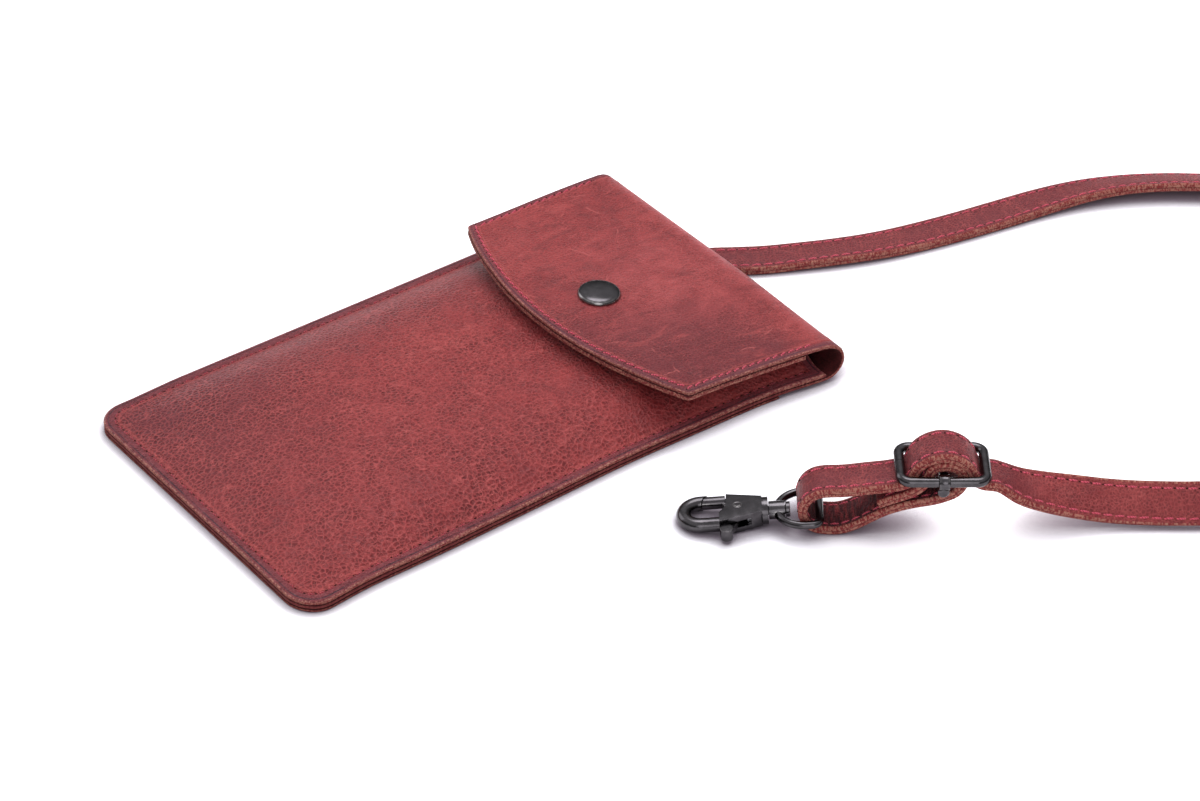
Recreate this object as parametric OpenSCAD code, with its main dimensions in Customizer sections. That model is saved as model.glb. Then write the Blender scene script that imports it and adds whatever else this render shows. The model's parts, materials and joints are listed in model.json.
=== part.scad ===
/* [Pouch] */
// Width across the pouch
pouch_w = 105; // [95:1:115]
// Length from the bottom end to the outside of the fold
pouch_l = 182; // [170:1:200]
// Radius of the two bottom corners
corner_r = 8.5; // [6:0.5:14]
// Thickness of the leather of the back, front, flap and lining
leather_t = 1.3; // [1.1:0.05:1.5]
// Thickness of the leather of the back pocket
pocket_t = 1; // [0.8:0.05:1.2]
// Height that the filled front rises above its sewn edge
crown_h = 7.2; // [6:0.1:8]
// Length over which the front rises from its bottom seam
crown_run = 60; // [45:1:75]
// Width of the flat sewn band along the long edges
band_w = 4; // [3.6:0.1:5]
// Distance from the fold down to the mouth of the back pocket
pocket_drop = 22; // [20:0.5:28]

/* [Flap] */
// Length of the flap at its middle, from the outside of the fold
flap_mid_l = 66.5; // [62:0.5:74]
// Length of the flap at its side corners, from the outside of the fold
flap_side_l = 54; // [50:0.5:58]
// Distance from the fold down to the end of the flap's lining
lining_drop = 13; // [12:0.5:20]
// Distance from the outside of the fold to the snap
snap_drop = 45.5; // [42:0.5:50]
// Clearance between the closed flap and the front at the fold
fold_gap = 0.6; // [0.4:0.1:1]

/* [Stitches] */
// Distance from the leather's edge to the stitch line
stitch_inset = 3.1; // [2.6:0.1:3.4]
// Length of one stitch and the gap after it
stitch_pitch = 3.6; // [3:0.1:4.5]
// Length of one stitch
stitch_l = 2.7; // [2.2:0.1:2.9]
// Thickness of the thread
thread_d = 0.6; // [0.4:0.05:0.7]

/* [Snap] */
// Diameter of the domed cap
cap_d = 12.5; // [11:0.1:13.5]
// Height of the domed cap
cap_h = 1.9; // [1.5:0.1:2.4]
// Outside diameter of the socket under the flap
socket_d = 10.4; // [9.6:0.1:11]
// Height of the socket
socket_h = 1.75; // [1.6:0.05:2]
// Diameter of the stud's base
stud_base_d = 9.6; // [8.6:0.1:10.4]
// Thickness of the stud's base
stud_base_h = 0.45; // [0.35:0.05:0.55]
// Diameter of the stud's ball
ball_d = 4.6; // [4.4:0.05:4.8]
// Outside diameter of the cap's hollow post
post_d = 4.4; // [4:0.1:4.6]

/* [Strap] */
// Width of the strap
strap_w = 12; // [11:0.1:12.2]
// Thickness of the strap, two plies
strap_t = 2.6; // [2.2:0.1:2.7]
// Radius of the innermost turn of the rolled strap
coil_r = 48; // [44:0.5:52]
// Distance between the turns of the rolled strap, centre to centre
coil_step = 4.7; // [4.5:0.05:5.5]

/* [Slider] */
// Length of the slider frame along the strap, outside
slider_l = 25.6; // [25.2:0.1:28]
// Width of the slider frame, inside
slider_in_w = 12.6; // [12.5:0.1:14]
// Diameter of the slider's wire
slider_wire = 2.8; // [2.4:0.1:3]
// Diameter of the slider's centre bar
bar_d = 2.4; // [2:0.1:2.8]

/* [Clasp] */
// Diameter of the wire of the hook
hook_wire = 4; // [3.7:0.1:4.2]
// Radius of the hook's loop at the middle of the wire
hook_r = 4.7; // [4.5:0.1:5.2]
// Thickness of the clasp's body
body_t = 5.2; // [4.8:0.1:5.6]
// Width of the slot for the trigger
slot_w = 2.2; // [2:0.1:2.4]
// Diameter of the trigger's rivet
pin_d = 1.6; // [1.4:0.1:1.8]
// Diameter of the swivel collar
collar_d = 7.5; // [7:0.1:8]
// Diameter of the swivel pin
swivel_d = 2.5; // [2.2:0.1:2.8]
// Diameter of the wire of the eye
eye_wire = 2.2; // [2:0.1:2.5]
// Width of the eye, inside
eye_in_w = 12.6; // [12.4:0.1:13.6]
// Length of the eye's straight legs
eye_leg = 1.8; // [1.2:0.1:2.6]

/* [Ring] */
// Width of the ring, inside
ring_in_w = 11.4; // [11:0.1:13]
// Depth of the ring, inside
ring_in_l = 5.4; // [5.2:0.1:6]
// Diameter of the ring's wire
ring_wire = 1.5; // [1.3:0.1:1.6]
// Width of the leather tab that holds the ring
tab_w = 10; // [8:0.5:10.4]

/* [Hidden] */

leather = [0.6, 0.26, 0.28];
suede = [0.48, 0.2, 0.21];
thread = [0.72, 0.2, 0.3];
gunmetal = [0.2, 0.2, 0.21];
steel = [0.55, 0.56, 0.58];

// Clearances
run_gap = 0.05;
skin_gap = 0.05;
thread_sunk = 0.1;
clear_gap = 0.3;
over_cut = 1;
round_fn = 64;

// Heights of the stack of leather, and the fold
back_z = pocket_t;
seam_z = back_z + leather_t;
edge_z = seam_z + leather_t;
crown_z = edge_z + crown_h;
fold_r = (crown_z + fold_gap + 2 * leather_t - pocket_t) / 2;
fold_in_r = fold_r - leather_t;
hinge_y = pouch_l / 2 - fold_r;
hinge_z = back_z + fold_r;
mouth_y = hinge_y - clear_gap;

// The socket's height sets how far the flap stands off the front at the snap
snap_along = snap_drop - fold_r;
snap_rest_gap = 0.32;
snap_gap = socket_h + stud_base_h + snap_rest_gap;
flap_rise = asin((snap_gap - fold_gap) / snap_along);
snap_depth = 2 * leather_t + socket_h / 2;
snap_y = hinge_y - snap_along * cos(flap_rise) + (fold_r - snap_depth) * sin(flap_rise);

module pouch_outline(top_y) {
    intersection() {
        translate([-pouch_w / 2, -pouch_l / 2])
            square([pouch_w, top_y + pouch_l / 2]);
        union() {
            for (side = [-1, 1])
                translate([side * (pouch_w / 2 - corner_r), corner_r - pouch_l / 2])
                    circle(r = corner_r, $fn = round_fn);
            translate([-pouch_w / 2, corner_r - pouch_l / 2])
                square([pouch_w, pouch_l]);
            translate([corner_r - pouch_w / 2, -pouch_l / 2])
                square([pouch_w - 2 * corner_r, pouch_l]);
        }
    }
}

// Back pocket: a flat leather piece sewn under the back along three edges
module back_pocket() {
    color(suede)
        linear_extrude(pocket_t)
            pouch_outline(pouch_l / 2 - pocket_drop);
}

// Back: a flat leather piece that runs on over the fold into the flap
module back_panel() {
    color(leather)
        translate([0, 0, back_z])
            linear_extrude(leather_t)
                pouch_outline(hinge_y);
}

// Front: a leather shell, flat at its sewn band and crowned over what it holds
crown_power = 4.5;
end_power = 3;
crown_cols = 8;
rise_rows = 7;
flat_rows = 3;
corner_turns = [0, 30, 60, 90];
end_band = corner_r / 2;
front_l = mouth_y + pouch_l / 2;
rise_end = end_band + crown_run;
front_rows = concat(
    [for (a = corner_turns) corner_r * (1 - cos(a))],
    [for (i = [1 : rise_rows]) corner_r + (rise_end - corner_r) * i / rise_rows],
    [for (i = [1 : flat_rows]) rise_end + (front_l - rise_end) * i / flat_rows]
);

function row_half(o) =
    o >= corner_r ? pouch_w / 2
    : pouch_w / 2 - corner_r + sqrt(max(0, corner_r * corner_r - (corner_r - o) * (corner_r - o)));
function rise(o) = 1 - pow(1 - min(1, max(0, (o - end_band) / crown_run)), end_power);
function arch(share) = 1 - pow(abs(share), crown_power);
function crown_shares() = [for (j = [-crown_cols : crown_cols]) sin(90 * j / crown_cols)];
function front_row(o, base_z) =
    let (half = row_half(o), inner = half - band_w, y = o - pouch_l / 2)
    concat(
        [[-half, y, base_z]],
        [for (s = crown_shares()) [inner * s, y, base_z + crown_h * rise(o) * arch(s)]],
        [[half, y, base_z]]
    );

module shell(top, bottom) {
    rows = len(top);
    cols = len(top[0]);
    n = rows * cols;
    points = concat([for (r = top) for (p = r) p], [for (r = bottom) for (p = r) p]);
    faces = concat(
        [for (i = [0 : rows - 2]) for (j = [0 : cols - 2]) for (half = [0, 1])
            let (a = i * cols + j, b = a + 1, c = a + cols, d = c + 1)
            half == 0 ? [a, c, b] : [b, c, d]],
        [for (i = [0 : rows - 2]) for (j = [0 : cols - 2]) for (half = [0, 1])
            let (a = n + i * cols + j, b = a + 1, c = a + cols, d = c + 1)
            half == 0 ? [a, b, c] : [b, d, c]],
        [for (j = [0 : cols - 2]) for (half = [0, 1])
            half == 0 ? [j, j + 1, n + j] : [j + 1, n + j + 1, n + j]],
        [for (j = [0 : cols - 2]) for (half = [0, 1])
            let (a = (rows - 1) * cols + j)
            half == 0 ? [a, n + a, a + 1] : [a + 1, n + a, n + a + 1]],
        [for (i = [0 : rows - 2]) for (half = [0, 1])
            let (a = i * cols, c = a + cols)
            half == 0 ? [a, n + a, c] : [c, n + a, n + c]],
        [for (i = [0 : rows - 2]) for (half = [0, 1])
            let (b = i * cols + cols - 1, d = b + cols)
            half == 0 ? [b, d, n + b] : [d, n + d, n + b]]
    );
    polyhedron(points, faces);
}

module front_panel() {
    color(leather)
        difference() {
            shell([for (o = front_rows) front_row(o, edge_z)], [for (o = front_rows) front_row(o, seam_z)]);
            translate([0, snap_y, seam_z])
                cylinder(d = rivet_d + 2 * run_gap, h = crown_h + 2 * leather_t, $fn = round_fn);
        }
}

// Stitches: short bars of thread that lie on the leather
module stitch(turn = 0) {
    rotate([0, 0, turn])
        translate([-thread_d / 2, -stitch_l / 2, skin_gap])
            cube([thread_d, stitch_l, thread_d / 2]);
}

module stitch_line(from_y, to_y) {
    count = floor((to_y - from_y) / stitch_pitch);
    for (i = [0 : count - 1])
        translate([0, from_y + (i + 0.5) * stitch_pitch, 0])
            stitch();
}

module stitch_arc(radius, from_turn, to_turn) {
    count = max(1, floor(abs(to_turn - from_turn) * PI / 180 * radius / stitch_pitch));
    for (i = [0 : count - 1])
        rotate([0, 0, from_turn + (to_turn - from_turn) * (i + 0.5) / count])
            translate([radius, 0, 0])
                stitch();
}

module panel_stitches() {
    line_x = pouch_w / 2 - stitch_inset;
    bottom_y = corner_r - pouch_l / 2;
    color(thread)
        translate([0, 0, edge_z]) {
            for (side = [-1, 1])
                translate([side * line_x, 0, 0])
                    stitch_line(bottom_y, mouth_y - stitch_inset);
            for (side = [0, 1])
                mirror([side, 0, 0])
                    translate([pouch_w / 2 - corner_r, bottom_y, 0])
                        stitch_arc(corner_r - stitch_inset, -90, 0);
            translate([0, stitch_inset - pouch_l / 2, 0])
                rotate([0, 0, 90])
                    stitch_line(corner_r - pouch_w / 2, pouch_w / 2 - corner_r);
        }
}

// Fold: the back leather turned over the mouth into the flap
module flap_fold() {
    color(leather)
        translate([-pouch_w / 2, hinge_y, hinge_z])
            rotate([90, 0, 90])
                rotate_extrude(angle = 180 - flap_rise, start = -90, $fn = round_fn)
                    translate([fold_in_r, 0])
                        square([leather_t, pouch_w]);
}

// Flap: two leather pieces sewn face to face, with a curved free edge
flap_tip = flap_mid_l - fold_r;
flap_side = flap_side_l - fold_r;
flap_depth = flap_tip - flap_side;
flap_arc_r = (pouch_w * pouch_w / 4 + flap_depth * flap_depth) / (2 * flap_depth);

module on_flap() {
    translate([0, hinge_y, hinge_z])
        rotate([-flap_rise, 0, 0])
            translate([0, 0, fold_r])
                children();
}

module flap_outline(near_y) {
    difference() {
        intersection() {
            translate([-pouch_w / 2, -flap_tip])
                square([pouch_w, flap_tip + near_y]);
            translate([0, flap_arc_r - flap_tip])
                circle(r = flap_arc_r, $fn = 4 * round_fn);
        }
        translate([0, -snap_along])
            circle(d = post_d + 2 * run_gap, $fn = round_fn);
    }
}

module flap_panel() {
    color(leather)
        on_flap()
            translate([0, 0, -leather_t])
                linear_extrude(leather_t)
                    flap_outline(0);
}

module flap_lining() {
    color(suede)
        on_flap()
            translate([0, 0, -2 * leather_t])
                linear_extrude(leather_t)
                    flap_outline(fold_r - lining_drop);
}

module flap_stitches() {
    line_x = pouch_w / 2 - stitch_inset;
    arc_r = flap_arc_r - stitch_inset;
    end_turn = asin(line_x / arc_r);
    corner_y = flap_arc_r - flap_tip - arc_r * cos(end_turn);
    color(thread)
        on_flap() {
            for (side = [-1, 1])
                translate([side * line_x, 0, 0])
                    stitch_line(corner_y + stitch_pitch / 2, -fold_r / 2);
            translate([0, flap_arc_r - flap_tip, 0])
                stitch_arc(arc_r, -90 - end_turn, -90 + end_turn);
        }
}

// Snap: cap, post, socket and ring spring on the flap; stud and rivet on the front
cap_rim_h = 0.9;
plate_h = 0.3;
flare_h = 0.2;
flare_d = post_d + 1;
post_in_d = post_d - 1;
neck_d = ball_d - 0.7;
spring_wire = 0.4;
spring_in_d = neck_d + 0.5;
spring_d = spring_in_d + spring_wire;
spring_turn = 330;
socket_lip = 0.2;
lip_d = ball_d + 0.4;
cavity_d = spring_d + spring_wire + 0.5;
rivet_d = 2.6;
rivet_head_d = 8.6;
rivet_head_h = 0.4;
ball_gap = 0.15;
ball_rise = 0.2;
ball_top_d = ball_d - 0.4;
ball_h = snap_gap - plate_h - flare_h - stud_base_h - ball_gap;
neck_h = snap_gap - socket_h + socket_lip + spring_wire + skin_gap - stud_base_h;

module on_snap() {
    on_flap()
        translate([0, -snap_along, 0])
            children();
}

module snap_cap() {
    dome_h = cap_h - cap_rim_h;
    dome_r = (cap_d * cap_d / 4 + dome_h * dome_h) / (2 * dome_h);
    color(gunmetal)
        on_snap() {
            cylinder(d = cap_d, h = cap_rim_h, $fn = round_fn);
            intersection() {
                translate([0, 0, cap_h - dome_r])
                    sphere(r = dome_r, $fn = round_fn);
                cylinder(d = cap_d, h = cap_h + over_cut, $fn = round_fn);
            }
            post_l = 2 * leather_t + plate_h + flare_h;
            difference() {
                translate([0, 0, -post_l]) {
                    cylinder(d = post_d, h = post_l, $fn = round_fn);
                    cylinder(d = flare_d, h = flare_h, $fn = round_fn);
                }
                translate([0, 0, -post_l - over_cut])
                    cylinder(d = post_in_d, h = post_l + over_cut, $fn = round_fn);
            }
        }
}

module snap_socket() {
    color(gunmetal)
        on_snap()
            translate([0, 0, -2 * leather_t])
                mirror([0, 0, 1])
                    difference() {
                        cylinder(d = socket_d, h = socket_h, $fn = round_fn);
                        translate([0, 0, -over_cut])
                            cylinder(d = post_d + 2 * run_gap, h = plate_h + 2 * over_cut, $fn = round_fn);
                        translate([0, 0, plate_h])
                            cylinder(d = cavity_d, h = socket_h - plate_h - socket_lip, $fn = round_fn);
                        translate([0, 0, plate_h])
                            cylinder(d = lip_d, h = socket_h, $fn = round_fn);
                    }
}

module snap_spring() {
    color(steel)
        on_snap()
            translate([0, 0, -2 * leather_t - socket_h + socket_lip + spring_wire / 2 + skin_gap])
                rotate_extrude(angle = spring_turn, $fn = round_fn)
                    translate([spring_d / 2, 0])
                        circle(d = spring_wire, $fn = round_fn);
}

module snap_stud() {
    color(gunmetal)
        translate([0, snap_y, crown_z])
            difference() {
                union() {
                    cylinder(d = stud_base_d, h = stud_base_h, $fn = round_fn);
                    translate([0, 0, stud_base_h]) {
                        cylinder(d = neck_d, h = neck_h, $fn = round_fn);
                        translate([0, 0, neck_h])
                            cylinder(d1 = neck_d, d2 = ball_d, h = ball_rise, $fn = round_fn);
                        translate([0, 0, neck_h + ball_rise])
                            cylinder(
                                d1 = ball_d, d2 = ball_top_d, h = ball_h - neck_h - ball_rise, $fn = round_fn
                            );
                    }
                }
                translate([0, 0, -over_cut])
                    cylinder(d = rivet_d + 2 * run_gap, h = over_cut + stud_base_h, $fn = round_fn);
            }
}

module snap_rivet() {
    color(steel)
        translate([0, snap_y, crown_z - leather_t - rivet_head_h - skin_gap]) {
            cylinder(d = rivet_head_d, h = rivet_head_h, $fn = round_fn);
            cylinder(d = rivet_d, h = rivet_head_h + leather_t + stud_base_h + skin_gap, $fn = round_fn);
        }
}

// Ring on the back: a wire ring in a leather tab that is sewn under the back
ring_inset = 22.5;
ring_x = pouch_w / 2 - ring_inset;
ring_r = ring_wire / 2;
tab_t = pocket_t - 2 * thread_sunk;
tab_loop_in = ring_r + run_gap;
tab_loop_out = tab_loop_in + tab_t;
ring_z = tab_loop_out;
ring_gap = 0.35;
ring_y = hinge_y + sqrt(pow(fold_r + tab_loop_out + ring_gap, 2) - pow(hinge_z - ring_z, 2));
ring_bend = ring_wire;
tab_sewn = 11;

module ring_tab() {
    color(suede)
        translate([ring_x - tab_w / 2, 0, 0]) {
            translate([0, hinge_y - tab_sewn, back_z - tab_t])
                cube([tab_w, ring_y - tab_loop_in - hinge_y + tab_sewn, tab_t]);
            translate([0, ring_y, ring_z])
                rotate([90, 0, 90])
                    difference() {
                        cylinder(r = tab_loop_out, h = tab_w, $fn = round_fn);
                        translate([0, 0, -over_cut])
                            cylinder(r = tab_loop_in, h = tab_w + 2 * over_cut, $fn = round_fn);
                    }
        }
}

module tab_stitches() {
    color(thread)
        for (x = [ring_x, upper_route[0][0]])
            translate([x, hinge_y - tab_sewn, (back_z - tab_t - skin_gap) / 2])
                for (side = [-1, 1])
                    for (i = [0 : floor(tab_sewn / stitch_pitch) - 1])
                        translate([side * tab_w / 3, (i + 0.5) * stitch_pitch, 0])
                            cube([thread_d, stitch_l, back_z - tab_t - skin_gap], center = true);
}

module wire_frame(half_u, half_v, bend, wire) {
    for (side = [-1, 1]) {
        translate([side * half_u, bend - half_v, 0])
            rotate([-90, 0, 0])
                cylinder(d = wire, h = 2 * (half_v - bend), $fn = round_fn);
        translate([bend - half_u, side * half_v, 0])
            rotate([0, 90, 0])
                cylinder(d = wire, h = 2 * (half_u - bend), $fn = round_fn);
    }
    for (turn = [0 : 3]) {
        right = turn == 0 || turn == 3 ? 1 : -1;
        up = turn < 2 ? 1 : -1;
        translate([right * (half_u - bend), up * (half_v - bend), 0])
            rotate([0, 0, 90 * turn])
                rotate_extrude(angle = 90, $fn = round_fn)
                    translate([bend, 0])
                        circle(d = wire, $fn = round_fn);
    }
}

module tab_ring() {
    half_u = (ring_in_w + ring_wire) / 2;
    half_v = (ring_in_l + ring_wire) / 2;
    ring_fall = asin((ring_z - ring_r - skin_gap) / (2 * half_v));
    color(gunmetal)
        translate([ring_x, ring_y, ring_z])
            rotate([-ring_fall, 0, 0])
                translate([0, half_v, 0])
                    wire_frame(half_u, half_v, ring_bend, ring_wire);
}

// The clasp, the eye and the slider lie on one line that leaves the pouch behind
lead_turn = 53;
tip_x = 79.5;
tip_y = 11.8;
tip_to_collar = 24;
collar_t = 1.6;
loop_to_collar = tip_to_collar - hook_wire / 2;
clasp_tilt = asin((collar_d - hook_wire) / 2 / loop_to_collar);
collar_z = collar_d / 2 * cos(clasp_tilt) + collar_t / 2 * sin(clasp_tilt) + skin_gap;

module on_lead(along, height = 0) {
    translate([tip_x, tip_y, height])
        rotate([0, 0, lead_turn])
            translate([along, 0, 0])
                children();
}

module on_clasp() {
    on_lead(tip_to_collar, collar_z)
        rotate([0, -clasp_tilt, 0])
            translate([-tip_to_collar, 0, 0])
                children();
}

// Clasp hook: loop, leg, body with a slot, and the swivel collar, cast in one
hook_u = hook_wire / 2 + hook_r;
pin_u = 16.6;
body_end_u = tip_to_collar - collar_t / 2;
cheek_l = 3;
cheek_u = pin_u - cheek_l;
slot_back_l = 3.6;
slot_end_u = pin_u + slot_back_l;
gate_l = 10;
gate_gap = 0.25;
gate_d = hook_wire - 2 * gate_gap;
hub_wall = 1.4;
hub_r = pin_d / 2 + hub_wall;
trigger_t = slot_w - 2 * gate_gap;
neck_share = 0.88;
heel_share = 0.8;

module clasp_outline() {
    back_half = collar_d / 2 * neck_share;
    front_half = hook_r + gate_gap;
    leg_half = hook_r + hook_wire / 2;
    polygon([
        [cheek_u, front_half], [body_end_u, back_half], [body_end_u, -back_half],
        [pin_u, -leg_half * heel_share], [cheek_u - hook_wire / 2, -leg_half],
        [cheek_u - hook_wire / 2, hook_wire / 2 - hook_r], [cheek_u, 0]
    ]);
}

module clasp_hook() {
    color(gunmetal)
        on_clasp() {
            difference() {
                union() {
                    translate([hook_u, 0, 0])
                        rotate_extrude(angle = 180, start = 90, $fn = round_fn)
                            translate([hook_r, 0])
                                circle(d = hook_wire, $fn = round_fn);
                    translate([hook_u, hook_r, 0])
                        rotate([0, 90, 0])
                            cylinder(d = hook_wire, h = hook_wire / 2, $fn = round_fn);
                }
                translate([pin_u, 0, -body_t])
                    cylinder(r = gate_l + gate_gap, h = 2 * body_t, $fn = 2 * round_fn);
            }
            translate([hook_u, -hook_r, 0])
                rotate([0, 90, 0])
                    cylinder(d = hook_wire, h = cheek_u - hook_u - hook_wire / 4, $fn = round_fn);
            difference() {
                translate([0, 0, -body_t / 2])
                    linear_extrude(body_t)
                        clasp_outline();
                translate([cheek_u - hook_wire / 4, -2 * body_t, -slot_w / 2])
                    cube([slot_end_u - cheek_u + hook_wire / 4, 4 * body_t, slot_w]);
                translate([pin_u, 0, -body_t])
                    cylinder(d = pin_d, h = 2 * body_t, $fn = round_fn);
            }
            translate([body_end_u, 0, 0])
                rotate([0, 90, 0])
                    cylinder(d = collar_d, h = collar_t, $fn = round_fn);
        }
}

// Trigger: hub, gate and thumb lever in one piece, on a rivet
lever_knee = [-1.1, -4.3];
lever_end = [-3.2, -8.6];
lever_d = 3.4;
lever_hub_r = 1.8;
lever_knee_r = 1.5;
lever_tip_r = 1.2;
hull_fn = 32;

module trigger_plate() {
    hull() {
        circle(r = hub_r, $fn = hull_fn);
        translate([cheek_u - pin_u - gate_d / 4, hook_r])
            circle(d = gate_d / 2, $fn = hull_fn);
    }
    hull() {
        circle(r = lever_hub_r, $fn = hull_fn);
        translate(lever_knee)
            circle(r = lever_knee_r, $fn = hull_fn);
    }
    hull() {
        translate(lever_knee)
            circle(r = lever_knee_r, $fn = hull_fn);
        translate(lever_end)
            circle(r = lever_tip_r, $fn = hull_fn);
    }
}

module clasp_trigger() {
    color(gunmetal)
        on_clasp()
            translate([pin_u, 0, 0]) {
                difference() {
                    translate([0, 0, -trigger_t / 2])
                        linear_extrude(trigger_t)
                            trigger_plate();
                    translate([0, 0, -body_t])
                        cylinder(d = pin_d + 2 * run_gap, h = 2 * body_t, $fn = round_fn);
                }
                intersection() {
                    translate([-gate_l, hook_r, 0])
                        rotate([0, 90, 0])
                            cylinder(d = gate_d, h = gate_l + cheek_u - pin_u - gate_gap, $fn = round_fn);
                    translate([0, 0, -body_t])
                        cylinder(r = gate_l, h = 2 * body_t, $fn = 2 * round_fn);
                }
                translate([lever_end[0], lever_end[1], -lever_d / 2])
                    cylinder(d = lever_d, h = lever_d, $fn = round_fn);
            }
}

module trigger_pin() {
    color(steel)
        on_clasp()
            translate([pin_u, 0, -body_t / 2])
                cylinder(d = pin_d, h = body_t, $fn = round_fn);
}

// Trigger spring: a bent strip in the slot, between its end wall and the lever
spring_t = 0.35;

module trigger_spring() {
    color(steel)
        on_clasp()
            translate([slot_end_u - spring_t, -hub_r - spring_t, -trigger_t / 2])
                linear_extrude(trigger_t) {
                    translate([0, -spring_t])
                        square([spring_t, 2 * hub_r]);
                    translate([-2 * spring_t, -spring_t])
                        square([3 * spring_t, spring_t]);
                    translate([-2 * spring_t, -2 * spring_t])
                        square([spring_t, 2 * spring_t]);
                }
}

// Swivel pin: turns in the eye's boss, with its head inside the eye
boss_l = 4.4;
boss_d = 5;
boss_gap = 0.15;
head_h = 1.2;
head_d = 4.2;
boss_u = body_end_u + collar_t + boss_gap;

module swivel_pin() {
    color(gunmetal)
        on_clasp()
            translate([body_end_u + collar_t, 0, 0])
                rotate([0, 90, 0]) {
                    cylinder(d = swivel_d, h = boss_l + 2 * boss_gap + head_h, $fn = round_fn);
                    translate([0, 0, boss_l + 2 * boss_gap])
                        cylinder(d = head_d, h = head_h, $fn = round_fn);
                }
}

// Eye: a D of wire with a boss for the swivel pin, which holds the strap's loop
eye_r = (eye_in_w + eye_wire) / 2;
eye_bend = eye_wire;
eye_u = boss_u + boss_l / 2 + eye_r;
eye_bar_u = eye_u + eye_leg + eye_bend;

module clasp_eye() {
    color(gunmetal)
        on_clasp()
            difference() {
                union() {
                    translate([eye_u, 0, 0])
                        rotate_extrude(angle = 180, start = 90, $fn = round_fn)
                            translate([eye_r, 0])
                                circle(d = eye_wire, $fn = round_fn);
                    for (side = [-1, 1]) {
                        translate([eye_u, side * eye_r, 0])
                            rotate([0, 90, 0])
                                cylinder(d = eye_wire, h = eye_leg, $fn = round_fn);
                        translate([eye_u + eye_leg, side * (eye_r - eye_bend), 0])
                            rotate([0, 0, side > 0 ? 0 : -90])
                                rotate_extrude(angle = 90, $fn = round_fn)
                                    translate([eye_bend, 0])
                                        circle(d = eye_wire, $fn = round_fn);
                    }
                    translate([eye_bar_u, eye_bend - eye_r, 0])
                        rotate([-90, 0, 0])
                            cylinder(d = eye_wire, h = 2 * (eye_r - eye_bend), $fn = round_fn);
                    translate([boss_u, 0, 0])
                        rotate([0, 90, 0])
                            cylinder(d = boss_d, h = boss_l, $fn = round_fn);
                }
                translate([boss_u - over_cut, 0, 0])
                    rotate([0, 90, 0])
                        cylinder(d = swivel_d + 2 * run_gap, h = boss_l + 2 * over_cut, $fn = round_fn);
                translate([boss_u + boss_l, 0, 0])
                    rotate([0, 90, 0])
                        cylinder(d = head_d + 2 * clear_gap, h = boss_gap + head_h + clear_gap, $fn = round_fn);
            }
}

// Slider: a wire frame with a centre bar that is crimped to it
slider_u = 70.8;
slider_z = 19.4;
slider_half_u = (slider_l - slider_wire) / 2;
slider_half_v = (slider_in_w + slider_wire) / 2;
slider_bend = slider_wire;
crimp_wall = 0.8;
crimp_d = slider_wire + 2 * crimp_wall;
crimp_l = 2.6;

module slider_frame() {
    color(gunmetal)
        on_lead(slider_u, slider_z)
            wire_frame(slider_half_u, slider_half_v, slider_bend, slider_wire);
}

module slider_bar() {
    color(gunmetal)
        on_lead(slider_u, slider_z)
            difference() {
                union() {
                    translate([0, -slider_half_v, 0])
                        rotate([-90, 0, 0])
                            cylinder(d = bar_d, h = 2 * slider_half_v, $fn = round_fn);
                    for (side = [-1, 1])
                        translate([-crimp_l / 2, side * slider_half_v, 0])
                            rotate([0, 90, 0])
                                cylinder(d = crimp_d, h = crimp_l, $fn = round_fn);
                }
                for (side = [-1, 1])
                    translate([-crimp_l, side * slider_half_v, 0])
                        rotate([0, 90, 0])
                            cylinder(d = slider_wire + run_gap, h = 2 * crimp_l, $fn = round_fn);
            }
}

// Strap: one band of two plies, drawn as rings of points across its route
function unit(v) = v / norm(v);
function tangent(c, i) = unit(c[min(i + 1, len(c) - 1)] - c[max(i - 1, 0)]);
edge_share = 0.3;
function band_ring(c, side, up, w, t) = [
    c - side * (w / 2) - up * (t * edge_share),
    c - side * (w / 2 - t / 4) - up * (t / 2),
    c + side * (w / 2 - t / 4) - up * (t / 2),
    c + side * (w / 2) - up * (t * edge_share),
    c + side * (w / 2) + up * (t * edge_share),
    c + side * (w / 2 - t / 4) + up * (t / 2),
    c - side * (w / 2 - t / 4) + up * (t / 2),
    c - side * (w / 2) + up * (t * edge_share)
];
function slim_ring(c, side, up, w, t) = [
    c - side * (w / 2),
    c - side * (w / 2 - t / 4) - up * (t / 2),
    c + side * (w / 2 - t / 4) - up * (t / 2),
    c + side * (w / 2),
    c + side * (w / 2 - t / 4) + up * (t / 2),
    c - side * (w / 2 - t / 4) + up * (t / 2)
];

module sweep(rings) {
    k = len(rings[0]);
    n = len(rings);
    faces = concat(
        [[for (j = [0 : k - 1]) j]],
        [[for (j = [0 : k - 1]) (n - 1) * k + k - 1 - j]],
        [for (i = [0 : n - 2]) for (j = [0 : k - 1]) for (half = [0, 1])
            let (a = i * k + j, b = i * k + (j + 1) % k, c = a + k, d = b + k)
            half == 0 ? [a, c, b] : [b, c, d]]
    );
    polyhedron([for (r = rings) for (p = r) p], faces);
}

// A band on a route of [x, y, z, tilt, thickness share]; tilt lifts its right-hand edge
function right_of(t, tilt) =
    let (flat = unit([t[1], -t[0], 0]), up = cross(flat, t))
    flat * cos(tilt) + up * sin(tilt);
function route_rings(route) =
    let (c = [for (p = route) [p[0], p[1], p[2]]])
    [for (i = [0 : len(c) - 1])
        let (t = tangent(c, i), side = right_of(t, route[i][3]))
        band_ring(c[i], side, cross(side, t), strap_w, strap_t * route[i][4])];

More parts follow.
